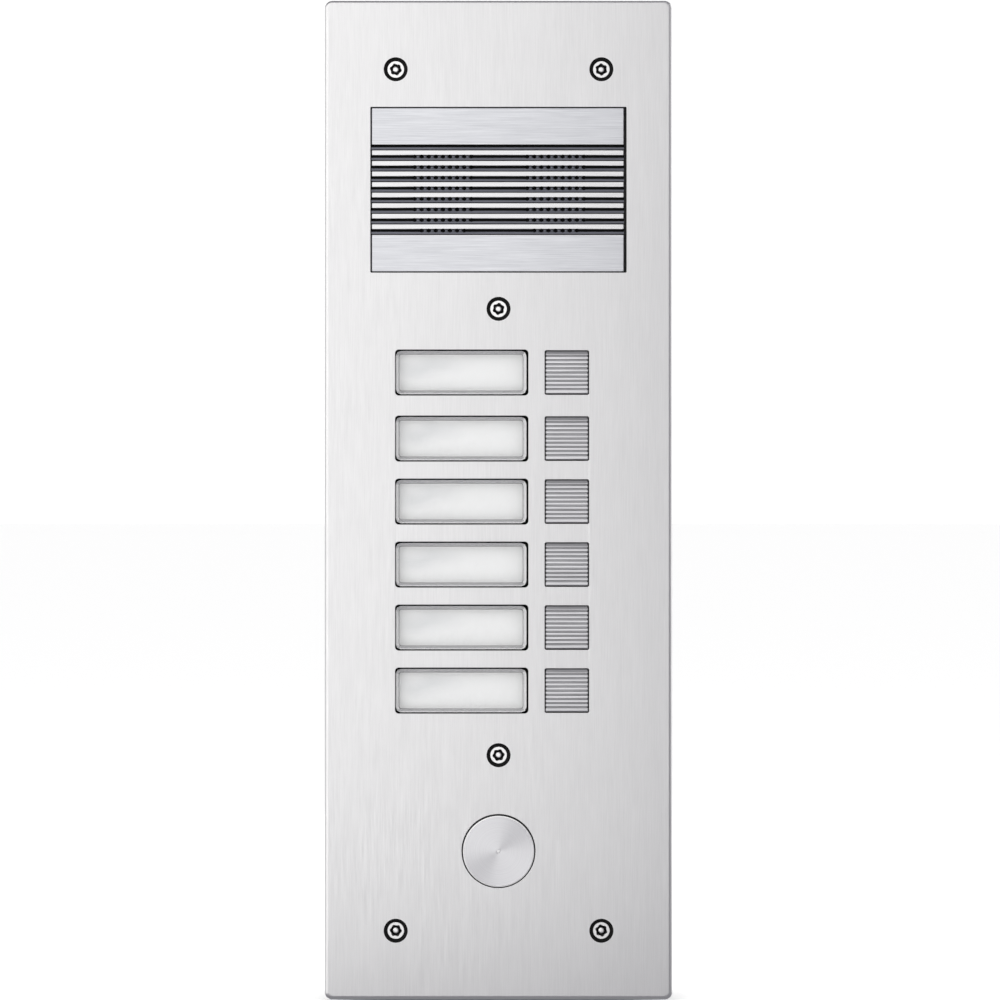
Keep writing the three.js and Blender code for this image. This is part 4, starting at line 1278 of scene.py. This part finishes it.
def terminal_block():
    """Eight rising-clamp terminals: a wire mouth underneath and a slotted screw behind for each."""
    pitch, screw_z = 5.08, -52.5
    places = [-8 + (i - 3.5) * pitch for i in range(8)]
    cutters = bmesh.new()
    for x in places:
        join(cutters, block(mm(x - 1.5, 26.1, -59), mm(x + 1.5, 29.3, -52)))
        join(cutters, around(mm(x, screw_z), [(0, 31.6), (1.7, 31.6), (1.7, 37), (0, 37)], 24))
    for x in places[:-1]:
        join(cutters, block(mm(x + pitch / 2 - 0.15, 35.2, -59), mm(x + pitch / 2 + 0.15, 37, -46)))
    mesh = carve(block(mm(-28.32, 23.7, -58), mm(12.32, 35.6, -47), 0.35 * MM), cutters)
    for i, x in enumerate(places):
        screw = around(mm(x, screw_z), [(0, 31.7), (1.55, 31.7), (1.55, 32.8), (1.3, 33.1), (0, 33.1)], 24)
        slot = block(mm(x - 2, 32.6, -52.8), mm(x + 2, 34, -52.2))
        turn = Matrix.Rotation(math.radians(35 * i), 3, "Y")
        bmesh.ops.rotate(slot, verts=slot.verts, cent=mm(x, 33, screw_z), matrix=turn)
        join(mesh, carve(screw, slot), 1)
    stand_in("terminal_block", "clamps", mesh, [TERMINAL_GREEN, RIM_METAL])


# ---- CAD nodes that keep their shape ----


def finish_cad_nodes():
    """The looks of the CAD nodes that have no piece of their own."""
    finishes = {
        "plate_gasket": RUBBER,
        "grille_membrane": MEMBRANE,
        "speech_carrier": BLACK,
        "call_carrier": GREY,
        "light_guide": OPAL,
        "light_button_housing": BLACK,
        "light_button_switch": BLACK,
        "board_link_header": BLACK,
    }
    for node, material in finishes.items():
        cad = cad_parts[node]
        cad.data.materials.clear()
        cad.data.materials.append(material)


front_plate()
plate_studs()
speaker_grille()
for row in ROWS:
    name_window(row)
    name_card(row)
    call_button(row)
    name, node, place = f"call_spring_wire_{row}", f"call_spring_{row}", middle(f"call_button_{row}")
    spring(name, node, place, CALL_COIL)
light_button()
name, node = "light_button_spring_wire", "light_button_spring"
spring(name, node, LIGHT_CENTRE, LIGHT_COIL)
for screw in SCREWS:
    security_screw(screw)
speaker()
microphone()
main_board()
call_board()
terminal_block()
LEADS = {
    "speaker": [(-19.2, 21.4, 100), (-19.4, 24.4, 91), (-21, 26, 78), (-22, 28, 64), (-22, 26.6, 52.2)],
    "microphone": [(19.7, 11.6, 106.8), (19.9, 16, 104.5), (22, 23, 93), (24, 28, 72), (24, 26.6, 52.2)],
    "light_button": [(6, 30.3, -121.2), (7.5, 33.5, -114), (13, 33, -98), (16, 29, -84), (16, 26.6, -74.2)],
}
for end, places in LEADS.items():
    lead(f"{end}_lead", places)
back_box()
bridge("upper_bridge")
bridge("lower_bridge")
cable_grommet()
finish_cad_nodes()


# ---- stage: floor, light, camera ----


def floor():
    """A wide white floor just under the part, left out of the reflections on metal."""
    size = 40.0
    low = CAD_BOX[0].z - 0.5 * MM
    skin = Skin()
    corners = [(-size, -size), (size, -size), (size, size), (-size, size)]
    skin.mesh.faces.new([skin.mesh.verts.new((x, y, low)) for x, y in corners])
    made = to_object("floor", skin.mesh)
    made.data.materials.append(FLOOR)
    made.visible_glossy = False


def studio():
    """White surroundings, dimmer in the reflections on metal, so that the soft boxes shape them."""
    world = bpy.data.worlds.new("studio")
    bpy.context.scene.world = world
    world.use_nodes = True
    nodes = world.node_tree.nodes
    rays = nodes.new("ShaderNodeLightPath")
    colour = nodes.new("ShaderNodeMix")
    colour.data_type = "RGBA"
    colour.inputs[6].default_value = (*SURROUNDINGS, 1)
    colour.inputs[7].default_value = (*REFLECTED_SURROUNDINGS, 1)
    world.node_tree.links.new(rays.outputs["Is Glossy Ray"], colour.inputs[0])
    world.node_tree.links.new(colour.outputs[2], nodes["Background"].inputs["Color"])
    bpy.context.scene.view_settings.view_transform = "Standard"


def soft_box(name, place, target, size, radiance):
    """A rectangular light, seen only by its light. radiance is what a mirror would show."""
    light = bpy.data.lights.new(name, "AREA")
    light.shape = "RECTANGLE"
    light.size, light.size_y = size
    light.energy = radiance * math.pi * size[0] * size[1]
    light.color = (1.0, 0.995, 0.97)
    made = bpy.data.objects.new(name, light)
    made.visible_camera = False
    bpy.context.scene.collection.objects.link(made)
    made.location = place
    made.rotation_mode = "QUATERNION"
    made.rotation_quaternion = (Vector(target) - Vector(place)).to_track_quat("-Z", "Y")


def camera():
    """A long lens straight in front."""
    data = bpy.data.cameras.new("camera")
    made = bpy.data.objects.new("camera", data)
    bpy.context.scene.collection.objects.link(made)
    data.sensor_width = SENSOR
    data.lens = SENSOR * CAMERA_DISTANCE / PICTURE_SIDE
    made.location = (CAMERA_SIDEWAYS, FRONT - CAMERA_DISTANCE, 0)
    made.rotation_euler = (math.radians(90), 0, 0)
    bpy.context.scene.camera = made


floor()
studio()
# the front box ends just below and to the right of the plate, so its light falls off towards that corner
soft_box("front_box", (-0.555, -0.60, 0.43), (-0.555, 0, 0.43), (1.29, 1.335), 0.99)
soft_box("top_box", (0.15, -0.60, 0.50), (0.15, 0, 0.50), (0.9, 0.7), 0.15)
soft_box("side_box", (-1.2, -0.15, 0.1), (0, -0.15, 0.1), (1.2, 1.4), 0.8)
soft_box("low_box", (-1.05, -1.0, -0.55), (-1.05, 0, -0.55), (1.0, 0.7), 0.45)
soft_box("back_box", (0.25, 1.0, 0.35), (0.1, 0, 0.1), (2.4, 1.5), 1.0)
soft_box("right_box", (1.6, 0.3, 0.4), (0, 0, 0), (1.4, 1.4), 0.9)
camera()
